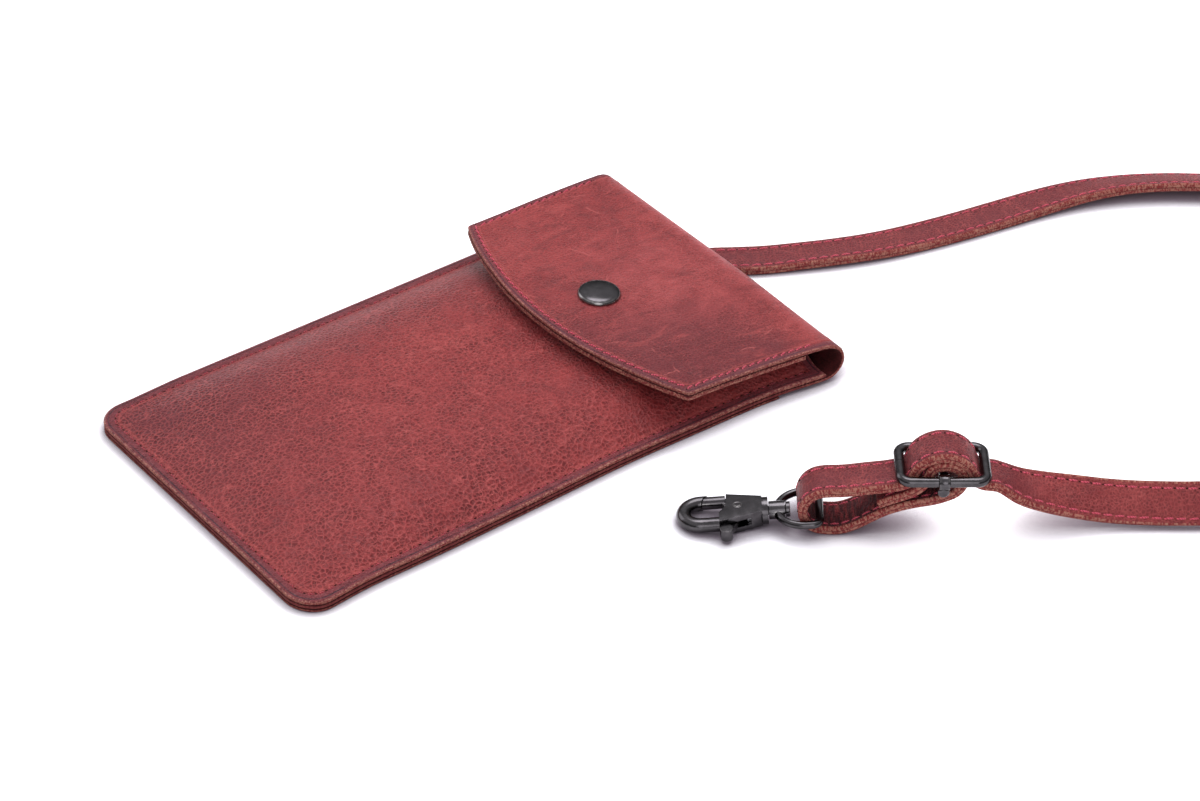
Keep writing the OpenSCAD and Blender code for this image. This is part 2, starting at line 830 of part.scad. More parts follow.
// Upper stretch: sewn thin under the back, then free along the table
tail_z = back_z - tab_t / 2;
tail_share = tab_t / strap_t;
upper_route = [
    [-15, 74, tail_z, 0, tail_share],
    [-15, 82, tail_z, 0, tail_share],
    [-14, 89, tail_z, 0, tail_share],
    [-11, 94, 1.2, 0, 0.9],
    [-6, 101, 1.4, 0, 1],
    [-1.5, 108, 1.4, 0, 1],
    [4, 118.5, 1.6, 2, 1],
    [9, 129, 1.7, 3, 1],
    [13.5, 140.5, 1.6, 2, 1],
    [17, 153, 1.4, 0, 1],
    [20, 166.5, 1.4, 0, 1],
    [22.5, 180, 1.4, 0, 1],
    [25.2, 194, 1.7, 3, 1],
    [29, 207.3, 2.3, 9, 1],
    [34.4, 219, 2.8, 14, 1],
    [41.2, 229.7, 3, 16, 1],
    [49.4, 240, 3.2, 18, 1],
    [62, 255.5, 4.3, 32, 1],
    [77, 269.5, 5.8, 60, 1],
    [92.5, 283, 6.3, 80, 1]
];

module strap_upper() {
    color(leather)
        sweep(concat(route_rings(upper_route), [wide_rings(coil_points())[0]]));
}

// Rolled stretch: the strap stands on edge and is wound from both ends about an S
coil_x = 154;
coil_y = 262;
coil_z = 6.1;
turn_step = 2 * coil_step;
in_turn = 450;
out_turn = 360;
step_turn = 15;
s_steps = 10;

function spiral_r(turn) = coil_r + turn_step * turn / 360;
function coil_at(r, turn) = [
    coil_x + r * cos(lead_turn + turn), coil_y + r * sin(lead_turn + turn), coil_z
];
function s_at(base, turn) = coil_at(coil_r / 2, base) + coil_r / 2 * [
    cos(lead_turn + base + turn), sin(lead_turn + base + turn), 0
];
function coil_points() = concat(
    [for (a = [0 : step_turn : in_turn]) coil_at(spiral_r(in_turn - a), 90 - a)],
    [for (i = [1 : s_steps]) s_at(90 - in_turn, -180 * i / s_steps)],
    [for (i = [1 : s_steps]) s_at(270 - in_turn, 180 * i / s_steps - 180)],
    [for (a = [step_turn : step_turn : out_turn]) coil_at(spiral_r(a), 270 - in_turn + a)]
);
function thin_rings(c) =
    [for (i = [0 : len(c) - 1])
        let (t = tangent(c, i))
        slim_ring(c[i], [0, 0, 1], cross([0, 0, 1], t), strap_w, strap_t)];
function wide_rings(c) =
    [for (i = [0 : len(c) - 1])
        let (t = tangent(c, i))
        band_ring(c[i], [0, 0, 1], cross([0, 0, 1], t), strap_w, strap_t)];

module strap_coil() {
    color(leather)
        sweep(thin_rings(coil_points()));
}

// Lower stretch: back from the roll, lifting from the table to the slider
lower_route = [
    [139.5, 201, 6.2, 90, 1],
    [155, 189, 6.2, 88, 1],
    [169.5, 174.5, 6.2, 82, 1],
    [175.2, 159.5, 6.2, 74, 1],
    [174.5, 144, 6.1, 66, 1],
    [169, 132, 6, 58, 1],
    [163.5, 124.2, 5.8, 54, 1],
    [155.5, 114.6, 5.4, 46, 1],
    [148.5, 105.7, 6, 42, 1],
    [143.1, 97.7, 7.9, 34, 1],
    [138.7, 91.1, 9.8, 23, 1],
    [134.7, 85.4, 12, 12, 1]
];

module strap_lower() {
    points = coil_points();
    color(leather)
        sweep(concat(
            [wide_rings(points)[len(points) - 1]],
            route_rings(lower_route),
            [loop_rings(loop_route())[0]]
        ));
}

// Loop: over the slider's bar, round the eye, and back to its sewn end on the bar
fold_loop_r = 6.2;
fold_from_tip = 39.9;
fold_height = 7.6;
fold_loop_u = fold_from_tip - slider_u;
fold_loop_z = fold_height - slider_z;
loop_in = [
    [14.5, -3.7], [11.6, -3.4], [9.3, -2.7], [7.8, -0.5], [6.7, 2.4], [3.8, 4.9], [0, 5.9],
    [-3.8, 4.9], [-6.7, 2.4], [-7.8, -0.5], [-9.3, -2.7], [-11.6, -3.4], [-14.5, -3.9],
    [-20, -4.6], [-26, -5.4]
];
loop_out = [
    [-27, -18], [-23, -16.5], [-19, -14], [-15, -11.7], [-11, -10.1], [-7, -9],
    [-3, -8.2], [0.2, -7.2], [3, -5.6], [4.7, -3], [4.8, 0], [3.1, 2.3],
    [0, 3.1], [-2.4, 2.3], [-3.5, -0.3], [-5.4, -3.4], [-9.2, -6], [-13, -7.6], [-17, -9.3]
];
function loop_route() = concat(
    loop_in,
    [for (a = [90 : 22.5 : 270]) [fold_loop_u + fold_loop_r * cos(a), fold_loop_z + fold_loop_r * sin(a)]],
    loop_out
);
function on_line(p) = [
    tip_x + (slider_u + p[0]) * cos(lead_turn), tip_y + (slider_u + p[0]) * sin(lead_turn), slider_z + p[1]
];
function loop_rings(route) =
    let (c = [for (p = route) on_line(p)], side = [-sin(lead_turn), cos(lead_turn), 0])
    [for (i = [0 : len(c) - 1])
        let (t = tangent(c, i))
        band_ring(c[i], side, cross(side, t), strap_w, strap_t)];

module strap_loop() {
    color(leather)
        sweep(loop_rings(loop_route()));
}

// The least gap between the turns of the rolled strap, and between the plies of the loop
function least_gap(c, apart) = min([
    for (i = [0 : len(c) - 1 - apart]) for (j = [i + apart : len(c) - 1]) norm(c[i] - c[j])
]) - strap_t;
echo(roll_gap = least_gap(coil_points(), 6), loop_gap = least_gap([for (p = loop_route()) on_line(p)], 6));

back_pocket();
back_panel();
front_panel();
panel_stitches();
flap_fold();
snap_stud();
snap_rivet();
ring_tab();
tab_stitches();
strap_upper();
strap_coil();
strap_lower();
strap_loop();
flap_panel();
flap_lining();
flap_stitches();
snap_cap();
snap_socket();
snap_spring();
slider_frame();
slider_bar();
tab_ring();
clasp_eye();
clasp_hook();
swivel_pin();
trigger_pin();
clasp_trigger();
trigger_spring();
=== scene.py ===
import json
from math import asin, ceil, cos, degrees, hypot, pi, radians, sin

import bmesh
import bpy
import numpy as np
from mathutils import Matrix, Vector
from mathutils.geometry import delaunay_2d_cdt

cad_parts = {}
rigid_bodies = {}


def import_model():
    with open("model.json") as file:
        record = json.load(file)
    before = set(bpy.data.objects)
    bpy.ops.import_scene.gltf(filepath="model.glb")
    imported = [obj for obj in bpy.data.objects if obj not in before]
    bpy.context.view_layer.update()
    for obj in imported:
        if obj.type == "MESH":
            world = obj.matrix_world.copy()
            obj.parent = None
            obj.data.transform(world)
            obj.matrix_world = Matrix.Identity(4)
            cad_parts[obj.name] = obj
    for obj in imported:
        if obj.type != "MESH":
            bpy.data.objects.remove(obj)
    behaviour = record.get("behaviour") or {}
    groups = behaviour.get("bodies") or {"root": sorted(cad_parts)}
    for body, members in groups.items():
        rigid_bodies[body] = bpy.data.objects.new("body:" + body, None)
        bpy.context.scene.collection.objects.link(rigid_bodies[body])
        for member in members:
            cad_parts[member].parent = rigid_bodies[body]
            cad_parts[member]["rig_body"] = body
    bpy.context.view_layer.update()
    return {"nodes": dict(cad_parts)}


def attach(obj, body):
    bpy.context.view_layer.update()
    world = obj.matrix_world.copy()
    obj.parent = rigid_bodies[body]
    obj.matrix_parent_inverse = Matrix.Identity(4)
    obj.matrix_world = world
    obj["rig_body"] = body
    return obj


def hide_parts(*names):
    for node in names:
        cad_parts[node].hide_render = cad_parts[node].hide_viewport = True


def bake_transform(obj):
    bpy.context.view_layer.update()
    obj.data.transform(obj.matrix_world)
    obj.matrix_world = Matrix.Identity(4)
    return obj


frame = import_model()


# Camera: the photograph was taken from above the bottom right of the pouch with a long lens,
# so the pouch lies across the picture and the strap leaves it on the right.
CAMERA_AT = (0.707545, -0.487590, 0.636316)
RIGHT = (0.602263, 0.798298, 0.0)
UP = (-0.475917, 0.359048, 0.802862)
TOWARDS = (0.640923, -0.483534, 0.596165)
SENSOR_MM = 36.0
LENS_MM = 113.94


def put(name, data):
    """A new object in the scene."""
    obj = bpy.data.objects.new(name, data)
    bpy.context.scene.collection.objects.link(obj)
    return obj


camera = put("camera", bpy.data.cameras.new("camera"))
camera.data.sensor_width = SENSOR_MM
camera.data.lens = LENS_MM
axes = Matrix((RIGHT, UP, TOWARDS)).transposed()
camera.matrix_world = Matrix.Translation(CAMERA_AT) @ axes.to_4x4()
bpy.context.scene.camera = camera


# Clasp: a zinc eye, hook and trigger, held by two steel rivets and a strip spring, tumbled and plated
# almost black. The tumbling leaves every edge a little round and a little brighter than the faces.
MM = 0.001
SHARP = radians(38)
STRIP = 0.1 * MM


def wired(tree, kind, inputs=None, **settings):
    """A node with its settings; an input is a value, a node's output, or a node for its first output."""
    node = tree.nodes.new(kind)
    for key, value in settings.items():
        setattr(node, key, value)
    for key, value in (inputs or {}).items():
        if isinstance(value, bpy.types.Node):
            value = value.outputs[0]
        if isinstance(value, bpy.types.NodeSocket):
            tree.links.new(value, node.inputs[key])
        else:
            node.inputs[key].default_value = value
    return node


def calc(operation, a, b, c=0.0):
    return wired(a.id_data, "ShaderNodeMath", {0: a, 1: b, 2: c}, operation=operation).outputs[0]


def times(a, b):
    return calc("MULTIPLY", a, b)


def added(value, share, base):
    """A share of a value, on top of a base."""
    return calc("MULTIPLY_ADD", value, share, base)


def ramp(value, low, high, at_low=0.0, at_high=1.0):
    inputs = {0: value, 1: low, 2: high, 3: at_low, 4: at_high}
    return wired(value.id_data, "ShaderNodeMapRange", inputs, interpolation_type="SMOOTHSTEP").outputs[0]


def noise(where, scale, detail=2.0, rough=0.5, warp=0.0):
    inputs = {"Vector": where, "Scale": scale, "Detail": detail, "Roughness": rough, "Distortion": warp}
    return wired(where.id_data, "ShaderNodeTexNoise", inputs).outputs[0]


def stretched(where, *scale):
    return wired(where.id_data, "ShaderNodeMapping", {"Vector": where, "Scale": scale}).outputs[0]


def mixed(share, a, b):
    return wired(share.id_data, "ShaderNodeMix", {0: share, 6: a, 7: b}, data_type="RGBA").outputs[2]


def value_on(tree, name, kind="Fac"):
    return wired(tree, "ShaderNodeAttribute", attribute_name=name).outputs[kind]


def own_place(tree):
    return wired(tree, "ShaderNodeTexCoord").outputs["Object"]


def given_to(shader, key, value):
    shader.id_data.links.new(value, shader.inputs[key])


def bumped(shader, height, depth_mm=1.0):
    bump = wired(shader.id_data, "ShaderNodeBump", {"Height": height, "Distance": depth_mm * MM})
    given_to(shader, "Normal", bump.outputs[0])


def finish(name, **constants):
    """A new material, its node tree and its shader, with the shader's own constants set."""
    material = bpy.data.materials.new(name)
    material.use_nodes = True
    shader = material.node_tree.nodes["Principled BSDF"]
    for key, value in constants.items():
        shader.inputs[key.replace("_", " ")].default_value = value
    return material, material.node_tree, shader


def rgb(r, g, b):
    return (r, g, b, 1.0)


def plated(name, face, worn, roughness):
    """Plated metal: cloudy, faintly pitted, and rubbed brighter along its edges."""
    material, tree, shader = finish(name, Metallic=1.0)
    place = own_place(tree)
    cloud = noise(place, 380, 4.0, 0.6)
    pits = noise(place, 2600, 2.0, 0.6)
    rub = times(value_on(tree, "edge"), ramp(cloud, 0.35, 0.65, 0.3, 0.8))
    dull = mixed(ramp(cloud, 0.38, 0.66), face, rgb(*(c * 1.35 for c in face[:3])))
    given_to(shader, "Base Color", mixed(rub, dull, worn))
    given_to(shader, "Roughness", added(pits, 0.10, added(cloud, 0.12, roughness - 0.11)))
    bumped(shader, added(cloud, 0.05, times(pits, 0.02)), 0.5)
    return material


gunmetal = plated("gunmetal", rgb(0.05, 0.046, 0.049), rgb(0.4, 0.38, 0.37), 0.22)
steel = plated("bright steel", rgb(0.3, 0.3, 0.31), rgb(0.55, 0.55, 0.55), 0.30)


def settled(obj):
    """The object's mesh as its modifiers leave it, smooth, with the modifiers gone."""
    mesh = bpy.data.meshes.new_from_object(obj.evaluated_get(bpy.context.evaluated_depsgraph_get()))
    obj.modifiers.clear()
    obj.data = mesh
    mesh.name = obj.name
    mesh.shade_smooth()
    return mesh


def tumbled(name, node, rounding=0.18, material=gunmetal):
    """The CAD solid's own shape with its edges rounded over, riding where the solid rides."""
    mesh = frame["nodes"][node].data.copy()
    shape = bmesh.new()
    shape.from_mesh(mesh)
    bmesh.ops.remove_doubles(shape, verts=shape.verts, dist=1e-6)
    bmesh.ops.dissolve_limit(shape, angle_limit=radians(0.6), verts=shape.verts, edges=shape.edges)
    shape.to_mesh(mesh)
    shape.clear()
    mesh.materials.clear()
    mesh.materials.append(material)
    obj = put(name, mesh)
    bevel = obj.modifiers.new("rounding", "BEVEL")
    bevel.width = rounding * MM
    bevel.segments = 4
    bevel.limit_method = "ANGLE"
    bevel.angle_limit = radians(35)
    bevel.use_clamp_overlap = True
    finished = settled(obj)
    finished.set_sharp_from_angle(angle=SHARP)
    shape.from_mesh(finished)
    narrow = [f.calc_area() < STRIP * max(e.calc_length() for e in f.edges) for f in shape.faces]
    worn = [float(all(narrow[f.index] for f in v.link_faces)) for v in shape.verts]
    shape.free()
    finished.attributes.new("edge", "FLOAT", "POINT").data.foreach_set("value", worn)
    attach(obj, frame["nodes"][node]["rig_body"])
    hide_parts(node)
    return obj


def unit(rows):
    return rows / np.linalg.norm(rows, axis=-1, keepdims=True)


def outward(verts, faces):
    """The faces of a closed shape, turned over if they look inwards."""
    fans = [(face[0], face[k], face[k + 1]) for face in faces for k in range(1, len(face) - 1)]
    corners = np.array([[verts[i] for i in fan] for fan in fans], float)
    inward = fans and np.linalg.det(corners).sum() < 0
    return [face[::-1] for face in faces] if inward else faces


def built(name, verts, faces, flat=None, slots=None, materials=(), **values):
    """A piece from points in millimetres, with its map on the flat leather and its values per point."""
    mesh = bpy.data.meshes.new(name)
    mesh.from_pydata((np.asarray(verts) * MM).tolist(), [], outward(verts, faces))
    if flat is not None:
        corners = np.empty(len(mesh.loops), int)
        mesh.loops.foreach_get("vertex_index", corners)
        mesh.uv_layers.new(name="flat").data.foreach_set("uv", (np.asarray(flat) * MM)[corners].ravel())
    for key, value in values.items():
        mesh.attributes.new(key, "FLOAT", "POINT").data.foreach_set("value", np.asarray(value, np.float32))
    for material in materials:
        mesh.materials.append(material)
    if slots is not None:
        mesh.polygons.foreach_set("material_index", np.asarray(slots, np.int32))
    mesh.shade_smooth()
    mesh.update()
    return put(name, mesh)


def turned(rings, at, axis, closed=False, segments=40):
    """Points, faces and edge wear of a turned shape: rings of (distance along the axis, radius, wear)."""
    a = unit(np.array(axis, float))
    b = unit(np.cross(a, (0.31, 0.17, 0.93)))
    c = np.cross(a, b)
    turns = np.linspace(0, 2 * pi, segments, endpoint=False)
    points = [
        np.array(at) + a * along + (b * cos(t) + c * sin(t)) * max(r, 1e-3)
        for along, r, wear in rings for t in turns]
    count = len(rings)
    faces = [
        (i * segments + k, i * segments + (k + 1) % segments,
         (i + 1) % count * segments + (k + 1) % segments, (i + 1) % count * segments + k)
        for i in range(count if closed else count - 1) for k in range(segments)]
    if not closed:
        faces += [tuple(range(segments))[::-1], tuple(range((count - 1) * segments, count * segments))]
    return points, outward(points, faces), [wear for along, r, wear in rings for t in turns]


def turned_piece(name, shapes, body, *nodes, material=gunmetal):
    """One piece made of one or more turned shapes."""
    verts, faces, worn = [], [], []
    for points, quads, wear in shapes:
        faces += [tuple(i + len(verts) for i in face) for face in quads]
        verts += points
        worn += wear
    obj = built(name, verts, faces, materials=[material], edge=worn)
    obj.data.set_sharp_from_angle(angle=SHARP)
    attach(obj, body)
    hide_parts(*nodes)
    return obj


hardware = [
    tumbled("eye_casting", "clasp_eye"),
    tumbled("hook_casting", "clasp_hook", 0.22),
    tumbled("swivel_rivet", "swivel_pin"),
    tumbled("trigger_rivet", "trigger_pin"),
    tumbled("trigger_casting", "clasp_trigger"),
    tumbled("trigger_strip_spring", "trigger_spring", 0.03, steel),
]
RIVET_RIM = [(2.4, 0.85, 0), (2.66, 0.92, 0), (2.74, 1.12, 0.25), (2.68, 1.34, 0.1), (2.4, 1.42, 0)]
rivet = np.array([v.co for v in frame["nodes"]["trigger_pin"].data.vertices]) * 1000
rivet_at = rivet.mean(axis=0)
rivet_axis = np.linalg.svd(rivet - rivet_at, full_matrices=False)[2][0]
rivet_rims = [turned(RIVET_RIM, rivet_at, rivet_axis * end, closed=True) for end in (-1, 1)]


# Slider: a frame of bent steel wire, plated like the clasp, whose ends meet in a joint line. Its
# centre bar is rolled round the frame's long sides in collars with two raised rims.
LEAD_TURN = 53
TIP = (79.5, 11.8)
SLIDER_U = 70.8
SLIDER_Z = 19.4
SLIDER_HALF_V = 7.7
BAR = [(-6.6, 1.2, 0), (6.6, 1.2, 0)]
COLLAR = [
    (-1.55, 1.45, 0), (-1.55, 1.8, 0), (-1.4, 2.1, 0.1), (-1.0, 2.22, 0.1), (-0.75, 2.12, 0), (0, 2.16, 0),
    (0.75, 2.12, 0), (1.0, 2.22, 0.1), (1.4, 2.1, 0.1), (1.55, 1.8, 0), (1.55, 1.45, 0)]
JOINT_LINE = [(-0.07, 1.36, 0), (-0.07, 1.43, 0), (0.07, 1.43, 0), (0.07, 1.36, 0)]
BAR_END = [(-1.2, 1.5, 0), (0.7, 1.7, 0), (1.15, 1.62, 0), (1.45, 1.36, 0.1), (1.62, 0.9, 0), (1.66, 0, 0)]


def round_at(x, y, r, turn):
    """The place at a distance from another, in a direction given in degrees."""
    return (x + r * cos(radians(turn)), y + r * sin(radians(turn)))


def by_slider(s, v, z):
    """A place s along the strap's last stretch from the slider's middle, v across it and z above it."""
    a = radians(LEAD_TURN)
    u = SLIDER_U + s
    return (TIP[0] + u * cos(a) - v * sin(a), TIP[1] + u * sin(a) + v * cos(a), SLIDER_Z + z)


lead = (*round_at(0, 0, 1, LEAD_TURN), 0.0)
crosswise = np.array((-lead[1], lead[0], 0.0))
bar_shapes = [turned(BAR, by_slider(0, 0, 0), crosswise)]
for end in (-1, 1):
    bar_shapes.append(turned(COLLAR, by_slider(0, end * SLIDER_HALF_V, 0), lead, closed=True))
    bar_shapes.append(turned(BAR_END, by_slider(-0.2, end * SLIDER_HALF_V, -2.6), crosswise * end))
# Painted shade: a thin near-black ring stands for the shade in the crack where the wire's ends meet.
joint_shade = finish("joint line shade", Roughness=0.9, Specular_IOR_Level=0.1, Base_Color=rgb(0.006, 0.006, 0.006))[0]
joint = turned(JOINT_LINE, by_slider(-11.4, 0.5, 0), crosswise, closed=True)
hardware += [
    tumbled("slider_wire_frame", "slider_frame"),
    turned_piece("slider_centre_bar", bar_shapes, "pouch", "slider_bar"),
    turned_piece("slider_wire_joint", [joint], "pouch", material=joint_shade),
    turned_piece("rivet_rims", rivet_rims, "clasp"),
]


# Strap: one leather band of two plies, sewn along both edges with pink-red thread. It is sewn thin
# under the back, comes out past the fold, is wound into a roll outside the picture, comes back over
# the table, goes through the slider, round the clasp's eye and back to the slider's bar.
UPPER = [
    (-15, 74, 0.6, 0, 0.308), (-15, 82, 0.6, 0, 0.308), (-14, 89, 0.6, 0, 0.308), (-11, 94, 1.2, 0, 0.9),
    (-6, 101, 1.4, 0, 1), (-1.5, 108, 1.4, 0, 1), (4, 118.5, 1.6, 2, 1), (9, 129, 1.7, 3, 1),
    (13.5, 140.5, 1.6, 2, 1), (17, 153, 1.4, 0, 1), (20, 166.5, 1.4, 0, 1), (22.5, 180, 1.4, 0, 1),
    (25.2, 194, 1.7, 3, 1), (29, 207.3, 2.3, 9, 1), (34.4, 219, 2.8, 14, 1), (41.2, 229.7, 3, 16, 1),
    (49.4, 240, 3.2, 18, 1), (62, 255.5, 4.3, 32, 1), (77, 269.5, 5.8, 60, 1), (92.5, 283, 6.3, 80, 1),
]
ROLL = (154, 262, 6.1)
ROLL_R = 48
ROLL_STEP = 9.4
LOWER = [
    (139.5, 201, 6.2, 90, 1), (155, 189, 6.2, 88, 1), (169.5, 174.5, 6.2, 82, 1),
    (175.2, 159.5, 6.2, 74, 1), (174.5, 144, 6.1, 66, 1), (169, 132, 6, 58, 1), (163.5, 124.2, 5.8, 54, 1),
    (155.5, 114.6, 5.4, 46, 1), (148.5, 105.7, 6, 42, 1), (143.1, 97.7, 7.9, 34, 1),
    (138.7, 91.1, 9.8, 23, 1), (134.7, 85.4, 12, 12, 1),
]
LOOP_IN = [
    (14.5, -3.7), (11.7, -3.3), (9.5, -2.5), (8.3, -0.5), (7, 2.5), (4, 5.1), (0, 6.2),
    (-4, 5.1), (-7, 2.5), (-8.3, -0.5), (-9.5, -2.5), (-11.7, -3.3), (-14.5, -3.9),
    (-20, -4.6), (-26, -5.4),
]
LOOP_NOSE = (-30.9, -11.8, 6.2)
LOOP_OUT = [
    (-27, -18), (-23, -16.5), (-19, -14), (-15, -11.7), (-11, -10.1), (-7, -9), (-3, -8.2), (0.2, -7.2),
    (3.4, -5.5), (5.2, -3), (5.3, 0), (3.6, 2.5), (0, 3.3), (-2.9, 2.4), (-4, -0.3), (-5.6, -3.4),
    (-9.2, -6), (-13, -7.6), (-17, -9.3),
]


def bell(x, at, width):
    return np.exp(-((x - at) / width) ** 2)


def soft_step(x, low, high):
    t = np.clip((x - low) / (high - low), 0, 1)
    return t * t * (3 - 2 * t)


def rolled(at, r, turn):
    return (*round_at(*at[:2], r, LEAD_TURN + turn), ROLL[2], 90, 1)


def roll_route():
    """The roll from above: wound in, turned back in an S at its heart, and wound out again."""
    half = ROLL_R / 2
    points = [rolled(ROLL, ROLL_R + ROLL_STEP * (450 - a) / 360, 90 - a) for a in range(0, 451, 15)]
    for base, first, way in ((-360, 0, -1), (-180, -180, 1)):
        middle = rolled(ROLL, half, base)
        points += [rolled(middle, half, base + first + way * a) for a in range(18, 181, 18)]
    return points + [rolled(ROLL, ROLL_R + ROLL_STEP * a / 360, a - 180) for a in range(15, 361, 15)]


def on_lead(s, z):
    return (*by_slider(s, 0, z), 0, 1 + 0.14 * bell(hypot(s, z), 0, 8))


def loop_route():
    s, z, r = LOOP_NOSE
    nose = [round_at(s, z, r, a) for a in np.arange(90, 271, 22.5)]
    return [on_lead(*p) for p in LOOP_IN + nose + LOOP_OUT]


def run_of(points):
    """How far along its line each point lies."""
    return np.r_[0, np.cumsum(np.linalg.norm(np.diff(points, axis=0), axis=1))]


def between(p, q, start, end, k):
    return p * (end - k) / (end - start) + q * (k - start) / (end - start)


def smooth_line(points, step):
    """A smooth curve through the points, sampled about every step."""
    p = np.array(points, float)
    p = np.vstack([2 * p[0] - p[1], p, 2 * p[-1] - p[-2]])
    line = []
    for a, b, c, d in zip(p, p[1:], p[2:], p[3:]):
        spans = [max(1e-6, np.linalg.norm((q - o)[:3])) ** 0.5 for o, q in ((a, b), (b, c), (c, d))]
        k0, k1, k2, k3 = np.cumsum([0, *spans])
        count = max(1, ceil(np.linalg.norm((c - b)[:3]) / step))
        for k in np.linspace(k1, k2, count, endpoint=False):
            bc = between(b, c, k1, k2, k)
            abc = between(between(a, b, k0, k1, k), bc, k0, k2, k)
            bcd = between(bc, between(c, d, k2, k3, k), k1, k3, k)
            line.append(between(abc, bcd, k1, k2, k))
    return np.array([*line, p[-2]])


# The line's rows are x, y, z, the band's tilt in degrees and the share of its full thickness.
line = smooth_line(UPPER + roll_route() + LOWER + loop_route(), 1.6)
centre = line[:, :3]
along = unit(np.gradient(centre, axis=0))
flat = np.c_[along[:, 1], -along[:, 0], np.zeros(len(along))]
for i in range(1, len(flat)):
    if abs(along[i, 2]) > 0.3:
        flat[i] = flat[i - 1]
    if np.dot(flat[i], flat[i - 1]) < 0:
        flat[i] *= -1
flat = unit(flat - along * np.sum(flat * along, axis=1)[:, None])
tilt = np.radians(line[:, 3])[:, None]
side = flat * np.cos(tilt) + np.cross(flat, along) * np.sin(tilt)
up = np.cross(side, along)
run = run_of(centre)

# The band's cross-section: a face from its edge to its middle, with the seam's groove, and a cut edge.
STRAP_HALF_T = 1.35
GROOVE = 4.1
BAND_RIM = 9.9
FACE = [(-5.3, 1.27), (-4.4, 1.3), (-GROOVE, 1.14), (-3.8, 1.3), (-2, 1.34), (0, STRAP_HALF_T)]
BAND_FACE = FACE + [(-a, b) for a, b in FACE[-2::-1]]
BAND_EDGE = [(5.75, 1.1), (5.97, 0.75), (5.97, 0.3), (5.86, 0), (5.97, -0.3), (5.97, -0.75), (5.75, -1.1)]
BAND = BAND_FACE + BAND_EDGE + [(-a, -b) for a, b in BAND_FACE + BAND_EDGE]

DEEP = rgb(0.074, 0.004, 0.006)
RED = rgb(0.198, 0.016, 0.017)
ROSE = rgb(0.325, 0.052, 0.049)
BURNISHED = rgb(0.115, 0.02, 0.027)
TAN = rgb(0.365, 0.148, 0.108)
TONE_AND_SHADE = rgb(0.07, 0.004, 0.009)
PIT = rgb(0.062, 0.005, 0.007)
RIDGE = rgb(0.35, 0.062, 0.06)
VEIN = rgb(0.37, 0.07, 0.066)
HAIRLINE = rgb(0.42, 0.1, 0.09)
FOLD_SHADE = rgb(0.022, 0.002, 0.004)
RUBBED_SHEEN = rgb(0.36, 0.075, 0.08)
CREASE = rgb(0.03, 0.008, 0.014)
CUT_DARK = rgb(0.19, 0.026, 0.026)
CUT_LIGHT = rgb(0.3, 0.072, 0.062)
CUT_DYED = rgb(0.13, 0.018, 0.02)
CUT_GAP = rgb(0.06, 0.008, 0.011)
WARP_MM = 1.6


def layered(colour, layers):
    """The colour with layers over it, each a share and a tint."""
    for share, tint in layers:
        colour = mixed(share, colour, tint)
    return colour


def off_line(value, at):
    """How far a value is from the one at a line's middle."""
    return calc("ABSOLUTE", calc("SUBTRACT", value, at), 0.0)


